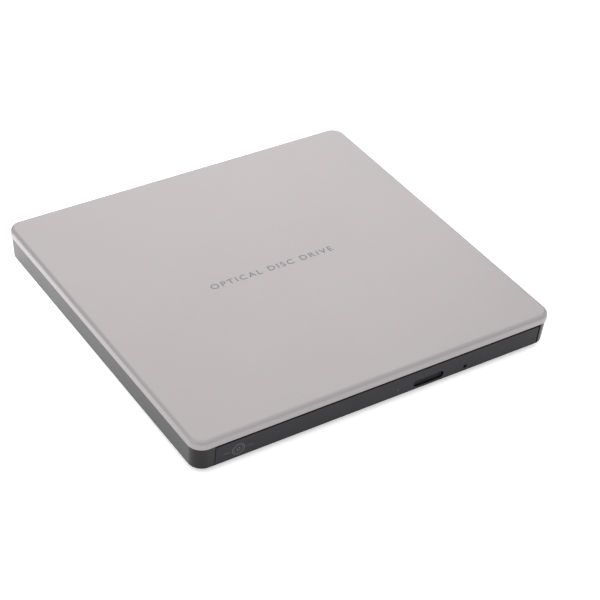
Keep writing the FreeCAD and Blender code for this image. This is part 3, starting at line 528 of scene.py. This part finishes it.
# Die-cast zinc alloy: grey, slightly frosted skin with flow marks.
DIE_CAST = Finish("die_cast_zinc", "7C7E80", 0.48, 0.9, grain_mm=0.35, relief_mm=0.012,
                  wander_mm=12.0, tone=0.1, gloss_swing=0.16)
# Electro-coated black sheet over the drive unit: even, satin.
BLACK_COAT = Finish("black_e_coat", "232427", 0.44, grain_mm=0.25, relief_mm=0.005,
                    wander_mm=20.0, tone=0.08, gloss_swing=0.1)
MOTOR_STEEL = RolledSteel("spun_motor_steel", "B2B4B6", 0.26, 1.0, grain_mm=0.12, relief_mm=0.002,
                          tone=0.06, gloss_swing=0.12, stretch=8.0)
HUB_ACETAL = Finish("black_acetal", "141416", 0.28, ior=1.48, grain_mm=0.3, relief_mm=0.002,
                    wander_mm=6.0, tone=0.08, gloss_swing=0.1)
LABEL_FILM = Finish("metallised_polyester", "B9BBBD", 0.38, 0.5, grain_mm=0.3, relief_mm=0.001,
                    wander_mm=14.0, tone=0.03, gloss_swing=0.06)
# Pad-printed inks: thin, matt, with slightly open coverage.
GREY_INK = Finish("grey_pad_print", "5C5B60", 0.55, grain_mm=0.12, relief_mm=0.002,
                  wander_mm=3.0, tone=0.06)
DIM_INK = Finish("dim_pad_print", "3A3B3E", 0.4, grain_mm=0.12, relief_mm=0.002,
                 wander_mm=3.0, tone=0.08)
BLACK_INK = Finish("black_label_print", "1C1C1E", 0.5, grain_mm=0.12, relief_mm=0.001,
                   wander_mm=3.0, tone=0.08)


def dress(finish: Finish, *nodes: str) -> None:
    """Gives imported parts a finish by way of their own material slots.

    Args:
        finish: The surface to give them.
        nodes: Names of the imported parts.
    """
    for name in nodes:
        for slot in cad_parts[name].material_slots:
            slot.material = finish.material()
        LOG.info("dressed %s in %s", name, finish.name)


# ---------- mesh work

class Part(Enum):
    """The kinds of mesh element that a selection can hold."""

    VERT = "VERT"
    EDGE = "EDGE"
    FACE = "FACE"


def deselect_all() -> None:
    """Leaves nothing selected in object mode."""
    if bpy.context.object is not None and bpy.context.object.mode != "OBJECT":
        bpy.ops.object.mode_set(mode="OBJECT")
    bpy.ops.object.select_all(action="DESELECT")


def start_box(name: str, low: Vector, high: Vector) -> bpy.types.Object:
    """Adds a block between two corners and leaves it in edit mode with nothing selected.

    Args:
        name: The piece's name.
        low: Lowest corner.
        high: Highest corner.

    Returns:
        The new object, at the origin.
    """
    deselect_all()
    bpy.ops.mesh.primitive_cube_add(size=1.0, location=(0.0, 0.0, 0.0))
    piece = bpy.context.object
    piece.name = name
    bpy.ops.object.mode_set(mode="EDIT")
    bpy.ops.transform.resize(value=tuple(high - low))
    bpy.ops.transform.translate(value=tuple((high + low) / 2.0))
    bpy.ops.mesh.select_all(action="DESELECT")
    return piece


def select(piece: bpy.types.Object, kind: Part, wanted: Callable) -> int:
    """Selects the elements of one kind that pass a test, and nothing else.

    Args:
        piece: The object in edit mode.
        kind: Which elements to look at.
        wanted: Test on an element.

    Returns:
        How many elements were selected.
    """
    bpy.ops.mesh.select_mode(type=kind.value)
    bpy.ops.mesh.select_all(action="DESELECT")
    shape = bmesh.from_edit_mesh(piece.data)
    elements = {Part.VERT: shape.verts, Part.EDGE: shape.edges, Part.FACE: shape.faces}[kind]
    found = 0
    for element in elements:
        if wanted(element):
            element.select_set(True)
            found += 1
    shape.select_flush_mode()
    bmesh.update_edit_mesh(piece.data)
    return found


def along(axis: int) -> Callable:
    """Test for the edges of a block that run along an axis."""
    return lambda e: abs(e.verts[0].co[axis] - e.verts[1].co[axis]) > 0.005 * MM


def close_piece(piece: bpy.types.Object, body: str | None, finish: Finish,
                smooth_deg: float = 35.0) -> bpy.types.Object:
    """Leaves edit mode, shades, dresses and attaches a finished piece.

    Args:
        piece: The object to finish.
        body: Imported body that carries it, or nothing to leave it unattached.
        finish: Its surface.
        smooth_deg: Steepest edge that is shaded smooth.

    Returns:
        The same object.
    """
    if piece.mode != "OBJECT":
        bpy.ops.object.mode_set(mode="OBJECT")
    deselect_all()
    piece.select_set(True)
    bpy.context.view_layer.objects.active = piece
    bpy.ops.object.shade_smooth_by_angle(angle=math.radians(smooth_deg))
    apply_modifier(piece, "WEIGHTED_NORMAL", keep_sharp=True, weight=100)
    piece.data.materials.clear()
    piece.data.materials.append(finish.material())
    if body:
        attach(piece, body)
    piece.select_set(False)
    LOG.info("built %s on %s", piece.name, body or "two bodies")
    return piece


def apply_modifier(piece: bpy.types.Object, kind: str, **settings: object) -> None:
    """Adds a modifier with its settings and applies it at once."""
    if piece.mode != "OBJECT":
        bpy.ops.object.mode_set(mode="OBJECT")
    modifier = piece.modifiers.new(kind.lower(), kind)
    for key, value in settings.items():
        setattr(modifier, key, value)
    bpy.context.view_layer.objects.active = piece
    bpy.ops.object.modifier_apply(modifier=modifier.name)


def carve(piece: bpy.types.Object, low: Vector, high: Vector, round_by: float = 0.0,
          round_axis: int = 2) -> None:
    """Cuts a block-shaped space out of a piece.

    Args:
        piece: The object to cut.
        low: Lowest corner of the space.
        high: Highest corner of the space.
        round_by: Radius of the space's corners.
        round_axis: Axis that the rounded corners run along.
    """
    if piece.mode != "OBJECT":
        bpy.ops.object.mode_set(mode="OBJECT")
    cutter = start_box("cutter", low, high)
    if round_by:
        select(cutter, Part.EDGE, along(round_axis))
        bpy.ops.mesh.bevel(offset=round_by, segments=12, affect="EDGES")
    bpy.ops.object.mode_set(mode="OBJECT")
    apply_modifier(piece, "BOOLEAN", operation="DIFFERENCE", solver="EXACT", object=cutter)
    bpy.data.objects.remove(cutter, do_unlink=True)


# ---------- the case

@dataclass
class Case:
    """Silver lid, black base, feet, label and printed marks.

    Attributes:
        rim_height: Height of the lid's rim.
        corner_radius: Plan radius of the lid's corners.
        edge_radius: Rounding of its top edge.
        wall: Thickness of the lid.
        base_top: Height of the base's side walls.
        base_low: Height where the walls turn into the bottom chamfer.
        base_bottom: Height of the base's underside.
        lip_top: Height of the lip that centres the lid.
        insets: How far in from the lid's outline are the walls' top, the walls' foot and the
            underside's edge.
        lip_insets: How far in from it are the lip's outer and inner faces.
        foot_radius: Radius of a foot's pocket.
        socket: Mouth of the data socket, low and high corners in X and Z.
        word_width: Length of the line of print on the lid.
        cap_height: Height of its capitals.
        word_centre: Where that line is centred, across and along the lid.
        ink: Thickness of a print.
    """

    rim_height: float = 3.2 * MM
    corner_radius: float = 5.2 * MM
    edge_radius: float = 1.6 * MM
    wall: float = 1.2 * MM
    base_top: float = 10.75 * MM
    base_low: float = 2.1 * MM
    base_bottom: float = 0.9 * MM
    lip_top: float = 12.2 * MM
    insets: tuple[float, float, float] = (0.3 * MM, 0.8 * MM, 2.3 * MM)
    lip_insets: tuple[float, float] = (1.35 * MM, 2.0 * MM)
    foot_radius: float = 4.05 * MM
    socket: tuple[float, float, float, float] = (-50.15 * MM, -41.85 * MM, 4.05 * MM, 8.55 * MM)
    word_width: float = 50.5 * MM
    cap_height: float = 2.67 * MM
    word_centre: tuple[float, float] = (-0.75 * MM, 0.3 * MM)
    ink: float = 0.02 * MM

    def build(self) -> None:
        """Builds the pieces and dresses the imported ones."""
        self.lid()
        self.base()
        self.word()
        self.label_marks()
        dress(FOOT_RUBBER, "rubber_feet")
        dress(ZINC_PLATE, "case_screws")
        dress(LABEL_FILM, "underside_label")

    def lid(self) -> bpy.types.Object:
        """Models the lid as a shell with generous corners and a soft top edge.

        Returns:
            The lid.
        """
        low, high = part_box("top_cover")
        low.z = high.z - self.rim_height
        high.z -= self.ink
        lid = start_box("silver_lid", low, high)
        select(lid, Part.EDGE, along(2))
        bpy.ops.mesh.bevel(offset=self.corner_radius, segments=24, affect="EDGES")
        top = high.z - 1e-6
        select(lid, Part.EDGE, lambda e: min(v.co.z for v in e.verts) > top)
        bpy.ops.mesh.bevel(offset=self.edge_radius, segments=8, affect="EDGES")
        select(lid, Part.FACE, lambda f: f.normal.z < -0.9)
        bpy.ops.mesh.delete(type="FACE")
        apply_modifier(lid, "SOLIDIFY", thickness=self.wall, offset=-1.0, use_even_offset=True)
        apply_modifier(lid, "BEVEL", width=0.12 * MM, segments=2, limit_method="ANGLE",
                       angle_limit=math.radians(60.0))
        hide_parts("top_cover")
        return close_piece(lid, "housing", SILVER_LACQUER)

    def base(self) -> bpy.types.Object:
        """Models the base: leaning walls, bottom chamfer, lip, tray opening, pockets and socket.

        Returns:
            The base.
        """
        low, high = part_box("top_cover")
        middle = (low + high) / 2.0
        half = (high - low) / 2.0

        def plan(inset: float, z: float, sign: int) -> Vector:
            """Corner of the case's outline, drawn in by inset, at a height."""
            return Vector((middle.x + sign * (half.x - inset), middle.y + sign * (half.y - inset), z))

        def shrink(before: float, after: float) -> None:
            """Draws the selected outline in from one inset to another."""
            bpy.ops.transform.resize(value=((half.x - after) / (half.x - before),
                                            (half.y - after) / (half.y - before), 1.0))

        top, foot, underside = self.insets
        lip, cavity = self.lip_insets
        rounding = 0.15 * MM
        base = start_box("black_base", plan(top, self.base_low, -1), plan(top, self.base_top, 1))
        select(base, Part.EDGE, along(2))
        bpy.ops.mesh.bevel(offset=self.corner_radius - top, segments=16, affect="EDGES")
        select(base, Part.FACE, lambda f: f.normal.z < -0.9)
        shrink(top, foot)
        bpy.ops.mesh.extrude_region_move(
            TRANSFORM_OT_translate={"value": (0.0, 0.0, self.base_bottom - self.base_low)})
        shrink(foot, underside)
        near = 0.05 * MM
        for edge_z, softness in ((self.base_top, rounding), (self.base_low, 2.0 * rounding),
                                 (self.base_bottom, 2.0 * rounding)):
            select(base, Part.EDGE, lambda e: all(abs(v.co.z - edge_z) < near for v in e.verts))
            bpy.ops.mesh.bevel(offset=softness, segments=3, affect="EDGES")
        select(base, Part.FACE, lambda f: f.normal.z > 0.99)
        bpy.ops.mesh.inset(thickness=lip - (top + rounding))
        bpy.ops.mesh.inset(thickness=cavity - lip)
        bpy.ops.mesh.extrude_region_move(
            TRANSFORM_OT_translate={"value": (0.0, 0.0, self.base_low - self.base_top)})
        select(base, Part.FACE, lambda f: all(
            abs(v.co.z - self.base_top) < near
            and min(half.x - abs(v.co.x - middle.x), half.y - abs(v.co.y - middle.y)) > lip - near
            for v in f.verts))
        bpy.ops.mesh.extrude_region_move(
            TRANSFORM_OT_translate={"value": (0.0, 0.0, self.lip_top - self.base_top)})
        self.openings(base, high.y)
        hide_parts("base_shell")
        return close_piece(base, "housing", POLISHED_ABS)

    def openings(self, base: bpy.types.Object, rear: float) -> None:
        """Cuts the tray opening, the socket's mouth, the foot pockets and the label's recess.

        Args:
            base: The base to cut.
            rear: Y of the case's rear outline.
        """
        panel_low, panel_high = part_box("tray_bezel")
        carve(base, Vector((panel_low.x - 0.2 * MM, panel_low.y - 5.0 * MM, self.base_low)),
              Vector((panel_high.x + 0.4 * MM, panel_high.y + 3.9 * MM, self.lip_top + 1.0 * MM)))
        x0, x1, z0, z1 = self.socket
        carve(base, Vector((x0, rear - 6.0 * MM, z0)), Vector((x1, rear + 2.0 * MM, z1)),
              0.8 * MM, 1)
        feet_low, feet_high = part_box("rubber_feet")
        wide = 2.0 * self.foot_radius
        for left in (feet_low.x, feet_high.x - wide):
            for front in (feet_low.y, feet_high.y - wide):
                carve(base, Vector((left, front, -1.0 * MM)),
                      Vector((left + wide, front + wide, feet_high.z)), self.foot_radius * 0.999)
        mark_low, mark_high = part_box("underside_label")
        room = Vector((0.4 * MM, 0.4 * MM, 0.0))
        carve(base, mark_low - room - Vector((0.0, 0.0, 3.0 * MM)), mark_high + room, 0.6 * MM)

    def word(self) -> bpy.types.Object:
        """Prints a generic description of the object on the lid.

        Returns:
            The line of print.
        """
        deselect_all()
        bpy.ops.object.text_add(location=(0.0, 0.0, 0.0))
        text = bpy.context.object
        text.name = "lid_print"
        text.data.body = "OPTICAL DISC DRIVE"
        text.data.size = 4.0 * MM
        text.data.space_character = 1.3
        text.data.extrude = self.ink / 2.0
        text.data.resolution_u = 6
        bpy.ops.object.convert(target="MESH")
        low, high = mesh_span(text)
        size = high - low
        bpy.ops.object.mode_set(mode="EDIT")
        bpy.ops.mesh.select_all(action="SELECT")
        bpy.ops.transform.translate(value=tuple(-(low + high) / 2.0))
        bpy.ops.transform.resize(value=(self.word_width / size.x, self.cap_height / size.y, 1.0))
        lid_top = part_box("top_cover")[1].z
        bpy.ops.transform.translate(value=(*self.word_centre, lid_top - self.ink * 0.5))
        return close_piece(text, "housing", GREY_INK)

    def label_marks(self) -> None:
        """Prints a frame and plain bars on the underside label, with no wording."""
        low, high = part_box("underside_label")
        face = low.z
        inset = 1.2 * MM
        line = 0.25 * MM
        outer = start_box("label_frame", Vector((low.x + inset, low.y + inset, face - self.ink)),
                          Vector((high.x - inset, high.y - inset, face)))
        select(outer, Part.FACE, lambda f: abs(f.normal.z) > 0.9)
        bpy.ops.mesh.inset(thickness=line)
        bpy.ops.mesh.bridge_edge_loops()
        close_piece(outer, "housing", BLACK_INK)
        rows = [(0.80, 0.5), (0.62, 0.78), (0.46, 0.64), (0.30, 0.7), (0.16, 0.42)]
        span = high - low
        for index, (up, share) in enumerate(rows):
            y = low.y + up * span.y
            left = low.x + 4.0 * MM
            bar = start_box(f"label_bar_{index}", Vector((left, y - 0.55 * MM, face - self.ink)),
                            Vector((left + share * (span.x - 8.0 * MM), y + 0.55 * MM, face)))
            select(bar, Part.EDGE, along(2))
            bpy.ops.mesh.bevel(offset=0.3 * MM, segments=3, affect="EDGES")
            close_piece(bar, "housing", BLACK_INK)


def mesh_span(piece: bpy.types.Object) -> tuple[Vector, Vector]:
    """Lowest and highest corners of a piece's own mesh."""
    places = [v.co for v in piece.data.vertices]
    low = Vector(tuple(min(p[i] for p in places) for i in range(3)))
    high = Vector(tuple(max(p[i] for p in places) for i in range(3)))
    return low, high


# ---------- inside

@dataclass
class Chassis:
    """Folded steel pan and lid with the two telescopic rails."""

    def build(self) -> None:
        """Dresses the steel and plastic of the chassis."""
        dress(CHASSIS_SHEET, "chassis_pan", "chassis_lid")
        dress(ZINC_PLATE, "chassis_screws", "board_screws")
        dress(ACETAL, "left_rail_guide", "right_rail_guide")
        dress(RAIL_STEEL, "left_slide_rail", "right_slide_rail")
        dress(GROUND_STEEL, "lock_pin")


@dataclass
class Electronics:
    """Main board, front board, ribbon and data socket.

    Attributes:
        low_run: Height of the ribbon's fixed run.
        high_run: Height of its moving end.
        fold_y: Where it turns back while the tray is shut.
        ends_y: Where the fixed run starts and the moving run ends.
        ramp: Points of the part that climbs to the board, in Y and Z.
        film: Thickness of the ribbon.
    """

    low_run: float = 2.85 * MM
    high_run: float = 5.68 * MM
    fold_y: float = -29.0 * MM
    ends_y: tuple[float, float] = (37.0 * MM, 36.8 * MM)
    ramp: tuple[tuple[float, float], ...] = (
        (37.0 * MM, 2.85 * MM), (38.5 * MM, 2.95 * MM), (40.5 * MM, 3.5 * MM), (43.0 * MM, 4.5 * MM),
        (45.0 * MM, 5.0 * MM), (46.5 * MM, 5.08 * MM), (48.2 * MM, 5.08 * MM))
    film: float = 0.15 * MM

    def strip(self, name: str, points: list[tuple[float, float]]) -> bpy.types.Object:
        """Draws the ribbon along points by extruding one edge again and again.

        Args:
            name: The piece's name.
            points: Its course in Y and Z.

        Returns:
            The strip, in object mode.
        """
        low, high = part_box("tray_flex_cable")
        (y0, z0), (y1, z1) = points[0], points[1]
        piece = start_box(name, Vector((low.x, min(y0, y1), z0)),
                          Vector((high.x, max(y0, y1), z0 + MM)))
        select(piece, Part.FACE, lambda f: f.normal.z > -0.9)
        bpy.ops.mesh.delete(type="ONLY_FACE")
        bpy.ops.mesh.select_mode(type="VERT")
        select(piece, Part.VERT, lambda v: v.co.z > z0 + 0.5 * MM)
        bpy.ops.mesh.delete(type="VERT")
        select(piece, Part.EDGE, lambda e: all(abs(v.co.y - y1) < 1e-7 for v in e.verts))
        bpy.ops.transform.translate(value=(0.0, 0.0, z1 - z0))
        for (ya, za), (yb, zb) in zip(points[1:], points[2:]):
            bpy.ops.mesh.extrude_edges_move(
                TRANSFORM_OT_translate={"value": (0.0, yb - ya, zb - za)})
        apply_modifier(piece, "SOLIDIFY", thickness=self.film, offset=0.0)
        return piece

    def ribbon(self) -> None:
        """Models the ribbon in a fixed part and a second part, laid as it lies while the tray is shut.
        """
        fixed = self.strip("ribbon_ramp", list(self.ramp))
        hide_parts("tray_flex_cable")
        close_piece(fixed, "housing", RIBBON_FILM)
        count = 33
        start, end = self.ends_y
        rise = (self.high_run - self.low_run) / (2 * count)
        course = [(start + (self.fold_y - start) * i / count, self.low_run + rise * i)
                  for i in range(count + 1)]
        course += [(self.fold_y + (end - self.fold_y) * i / count, self.low_run + rise * (count + i))
                   for i in range(1, count + 1)]
        moving = self.strip("ribbon_run", course)
        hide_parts("tray_flex_cable")
        close_piece(moving, None, RIBBON_FILM)
        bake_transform(moving)

    def build(self) -> None:
        """Models the ribbon and dresses boards, chips and connectors."""
        self.ribbon()
        dress(GREEN_MASK, "main_board", "front_board")
        dress(CHIP_EPOXY, "board_chips", "eject_switch")
        dress(NICKEL_PLATE, "quartz_crystal", "usb_socket")
        dress(BLACK_NYLON, "usb_tongue", "flex_connector", "tray_connector")
        dress(GOLD_FLASH, "usb_contacts")
        dress(LED_EPOXY, "status_led")
        dress(SMOKED_ACRYLIC, "light_pipe")


@dataclass
class Tray:
    """Moulded tray with its front panel, button and lock.

    Attributes:
        lean: How far the front panel leans out for each unit of height.
        mark_place: Centre of the printed disc sign, in X and Z.
        rings: Outer and inner radii of the sign's rings.
        bars: Middle and half length of the plain bars beside the rings.
        bar_height: Height of those bars.
        foot_y: Y of the panel's face at its lower edge.
        ink: Thickness of the print.
        cap_width: Width of the eject button's cap, which clears the slot it moves in.
        flange_gap: Space between the panel's back and the button's flange.
        button_set_back: How far its cap sits behind the tip of the CAD button.
        scoop: Depth of the hollow in its face.
        scoop_edge: Widths of the flat rim round the hollow and of the slope into it.
    """

    lean: float = 0.0578
    mark_place: tuple[float, float] = (-55.6 * MM, 5.6 * MM)
    rings: tuple[tuple[float, float], ...] = ((2.35 * MM, 2.1 * MM), (1.75 * MM, 1.6 * MM),
                                              (0.75 * MM, 0.45 * MM))
    bars: tuple[tuple[float, float], ...] = ((-59.9 * MM, 1.2 * MM), (-51.3 * MM, 1.2 * MM))
    bar_height: float = 0.32 * MM
    foot_y: float = -67.95 * MM
    ink: float = 0.02 * MM
    cap_width: float = 12.2 * MM
    flange_gap: float = 0.1 * MM
    button_set_back: float = 0.45 * MM
    scoop: float = 0.35 * MM
    scoop_edge: tuple[float, float] = (0.3 * MM, 0.35 * MM)

    def disc_sign(self) -> None:
        """Prints a plain sign of a disc, rings about one centre, at the left of the front panel."""
        low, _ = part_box("tray_bezel")
        x, z = self.mark_place
        tilt = math.atan(self.lean)
        y = self.foot_y - self.lean * (z - low.z)
        for index, (outer, inner) in enumerate(self.rings):
            deselect_all()
            bpy.ops.mesh.primitive_cylinder_add(vertices=64, radius=outer, depth=self.ink,
                                                location=(0.0, 0.0, 0.0))
            ring = bpy.context.object
            ring.name = f"disc_sign_{index}"
            bpy.ops.object.mode_set(mode="EDIT")
            select(ring, Part.FACE, lambda f: abs(f.normal.z) > 0.9)
            bpy.ops.mesh.inset(thickness=outer - inner)
            bpy.ops.mesh.bridge_edge_loops()
            bpy.ops.mesh.select_all(action="SELECT")
            bpy.ops.transform.rotate(value=math.pi / 2.0 - tilt, orient_axis="X",
                                     center_override=(0.0, 0.0, 0.0))
            bpy.ops.transform.translate(value=(x, y - self.ink * 0.4, z))
            close_piece(ring, "tray", DIM_INK)

        for index, (middle_x, half) in enumerate(self.bars):
            low_bar = Vector((middle_x - half, y, z - self.bar_height / 2.0))
            bar = start_box(f"disc_sign_bar_{index}", low_bar,
                            low_bar + Vector((2.0 * half, self.ink, self.bar_height)))
            bpy.ops.transform.rotate(value=-tilt, orient_axis="X",
                                     center_override=(x, y, z))
            bpy.ops.transform.translate(value=(0.0, -self.ink * 0.9, 0.0))
            close_piece(bar, "tray", DIM_INK)

    def button(self) -> bpy.types.Object:
        """Models the eject button: a scooped cap set back in its slot, and a flange behind it.

        Returns:
            The button.
        """
        low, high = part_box("eject_button")
        panel_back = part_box("tray_bezel")[1].y + self.flange_gap
        edge = (high.x - low.x - self.cap_width) / 2.0
        tip = Vector((low.x + edge, low.y + self.button_set_back, low.z))
        button = start_box("eject_button_cap", tip, Vector((high.x - edge, panel_back, high.z)))
        select(button, Part.EDGE, along(1))
        bpy.ops.mesh.bevel(offset=(high.z - low.z) * 0.49, segments=10, affect="EDGES")
        select(button, Part.FACE, lambda f: f.normal.y > 0.9)
        bpy.ops.mesh.extrude_region_move(TRANSFORM_OT_translate={"value": (0.0, 0.0, 0.0)})
        bpy.ops.transform.resize(value=((high.x - low.x) / self.cap_width, 1.0, 1.0))
        bpy.ops.mesh.extrude_region_move(
            TRANSFORM_OT_translate={"value": (0.0, high.y - panel_back, 0.0)})
        select(button, Part.FACE, lambda f: f.normal.y < -0.9
               and f.calc_center_median().y < tip.y + 0.01 * MM)
        for width in self.scoop_edge:
            bpy.ops.mesh.inset(thickness=width)
        bpy.ops.transform.translate(value=(0.0, self.scoop, 0.0))
        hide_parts("eject_button")
        return close_piece(button, "button", BUTTON_PC)

    def build(self) -> None:
        """Prints the sign, models the button and dresses the tray and its mechanism."""
        self.disc_sign()
        self.button()
        dress(ERODED_ABS, "tray_bezel")
        dress(TRAY_ABS, "disc_tray", "tray_surround", "tray_under_cover")
        dress(BLACK_NYLON, "lock_lever", "ejector_pusher", "emergency_slider")
        dress(SPRING_WIRE, "ejector_spring", "lock_spring")
        dress(GROUND_STEEL, "lever_pivot")
        dress(COPPER_WIRE, "solenoid")
        dress(MAGNET_PLATE, "solenoid_plunger")


@dataclass
class DriveUnit:
    """Cast frame with the spindle, the pickup and their drives."""

    def build(self) -> None:
        """Dresses the drive unit."""
        dress(DIE_CAST, "traverse_frame", "pickup_carriage")
        dress(FOOT_RUBBER, "traverse_dampers", "turntable_ring")
        dress(ZINC_PLATE, "traverse_screws")
        dress(BLACK_COAT, "traverse_cover", "pickup_cover")
        dress(GROUND_STEEL, "guide_shafts")
        dress(THREADED_STEEL, "lead_screw")
        dress(MOTOR_STEEL, "spindle_base", "spindle_rotor", "sled_motor")
        dress(HUB_ACETAL, "disc_hub")
        dress(ACETAL, "clamp_jaws", "lens_holder")
        dress(MAGNET_PLATE, "actuator_magnets")
        dress(NICKEL_PLATE, "laser_diode")
        dress(BLACK_NYLON, "feed_nut")
        dress(LENS_GLASS, "objective_lens")
        dress(COPPER_WIRE, "focus_coils")


# ---------- studio

@dataclass
class Studio:
    """Plain pale floor, soft light from above and the left, and the camera.

    Attributes:
        azimuth_deg: Direction of the camera about the object, from the front.
        elevation_deg: Height of the camera above the horizon.
        roll_deg: Turn of the camera about its own axis.
        distance: Camera to the plane through the aim, along the view.
        aim_right: Sideways offset of the camera, in its own frame.
        aim_up: Upward offset of the camera, in its own frame.
        focal_mm: Lens for a 36 mm sensor.
        top_z: Height of the surface that the offsets are taken from.
        horizon: Brightness of the surroundings at eye level.
        zenith: Brightness of the surroundings overhead.
        haze_top: Sine of the elevation up to which the horizon's brightness holds.
    """

    azimuth_deg: float = -35.02
    elevation_deg: float = 37.25
    roll_deg: float = 4.09
    distance: float = 649.77 * MM
    aim_right: float = 8.97 * MM
    aim_up: float = -11.59 * MM
    focal_mm: float = 109.86
    top_z: float = 14.0 * MM
    horizon: float = 0.95
    zenith: float = 1.6
    haze_top: float = 0.55

    def build(self) -> None:
        """Sets up floor, lights, surroundings and camera."""
        self.camera()
        self.floor()
        self.lights()
        self.surroundings()

    def camera(self) -> None:
        """Places the camera from its angles and offsets."""
        a, e, r = (math.radians(v) for v in (self.azimuth_deg, self.elevation_deg, self.roll_deg))
        back = Vector((math.sin(a) * math.cos(e), -math.cos(a) * math.cos(e), math.sin(e)))
        level = Vector((0.0, 0.0, 1.0)).cross(back).normalized()
        rise = back.cross(level)
        right = math.cos(r) * level + math.sin(r) * rise
        up = -math.sin(r) * level + math.cos(r) * rise
        place = back * self.distance + right * self.aim_right + up * self.aim_up
        place.z += self.top_z
        data = bpy.data.cameras.new("studio_camera")
        data.sensor_width = 36.0
        data.lens = self.focal_mm
        data.clip_start = 0.01
        data.clip_end = 20.0
        camera = bpy.data.objects.new("studio_camera", data)
        turn = Matrix((right, up, back)).transposed().to_4x4()
        camera.matrix_world = Matrix.Translation(place) @ turn
        bpy.context.scene.collection.objects.link(camera)
        bpy.context.scene.camera = camera

    def floor(self) -> None:
        """Lays a large white sweep under the object."""
        deselect_all()
        bpy.ops.mesh.primitive_plane_add(size=8.0, location=(0.0, 0.0, 0.0))
        floor = bpy.context.object
        floor.name = "studio_floor"
        sheet = LitSweep("lit_acrylic_sheet", "F4F4F4", 0.9, ior=1.45, wander_mm=200.0,
                         gloss_swing=0.02)
        floor.data.materials.append(sheet.material())

    def lights(self) -> None:
        """Hangs soft panels: overhead and behind, at the left, in front, and low at the back right."""
        # name, place and width in metres, power in watts
        panels = [("overhead", (0.1, 0.5, 1.3), 1.6, 2.6), ("left_wall", (-1.2, 0.2, 0.7), 1.0, 2.0),
                  ("front_fill", (0.2, -1.3, 0.9), 0.8, 1.0),
                  ("back_key", (0.45, 0.8, 0.42), 0.7, 2.2)]
        for name, place, size, power in panels:
            data = bpy.data.lights.new(name, "AREA")
            data.shape = "SQUARE"
            data.size = size
            data.energy = power
            panel = bpy.data.objects.new(name, data)
            spot = Vector(place)
            panel.matrix_world = (Matrix.Translation(spot)
                                  @ spot.to_track_quat("Z", "Y").to_matrix().to_4x4())
            bpy.context.scene.collection.objects.link(panel)

    def surroundings(self) -> None:
        """White surroundings, brighter overhead, so that the sheet runs out to white."""
        world = bpy.data.worlds.new("studio_surroundings")
        world.use_nodes = True
        tree = world.node_tree
        way = add_node(tree, "ShaderNodeTexCoord").outputs["Generated"]
        split = add_node(tree, "ShaderNodeSeparateXYZ", {0: way})
        level = add_node(tree, "ShaderNodeMapRange", {
            "From Min": self.haze_top, "From Max": 1.0, "To Min": self.horizon,
            "To Max": self.zenith, "Value": split.outputs["Z"]})
        shade = tree.nodes["Background"]
        shade.inputs["Color"].default_value = linear("FFFFFF")
        tree.links.new(level.outputs["Result"], shade.inputs["Strength"])
        bpy.context.scene.world = world
        bpy.context.scene.view_settings.view_transform = "Standard"


def main() -> None:
    """Builds the studio and each sub-assembly in turn."""
    logging.basicConfig(level=logging.INFO, format="%(message)s")
    for assembly in (Studio(), Case(), Chassis(), Electronics(), Tray(), DriveUnit()):
        LOG.info("building %s", type(assembly).__name__)
        assembly.build()
    deselect_all()
    bpy.context.view_layer.update()


if __name__ == "__main__":
    main()
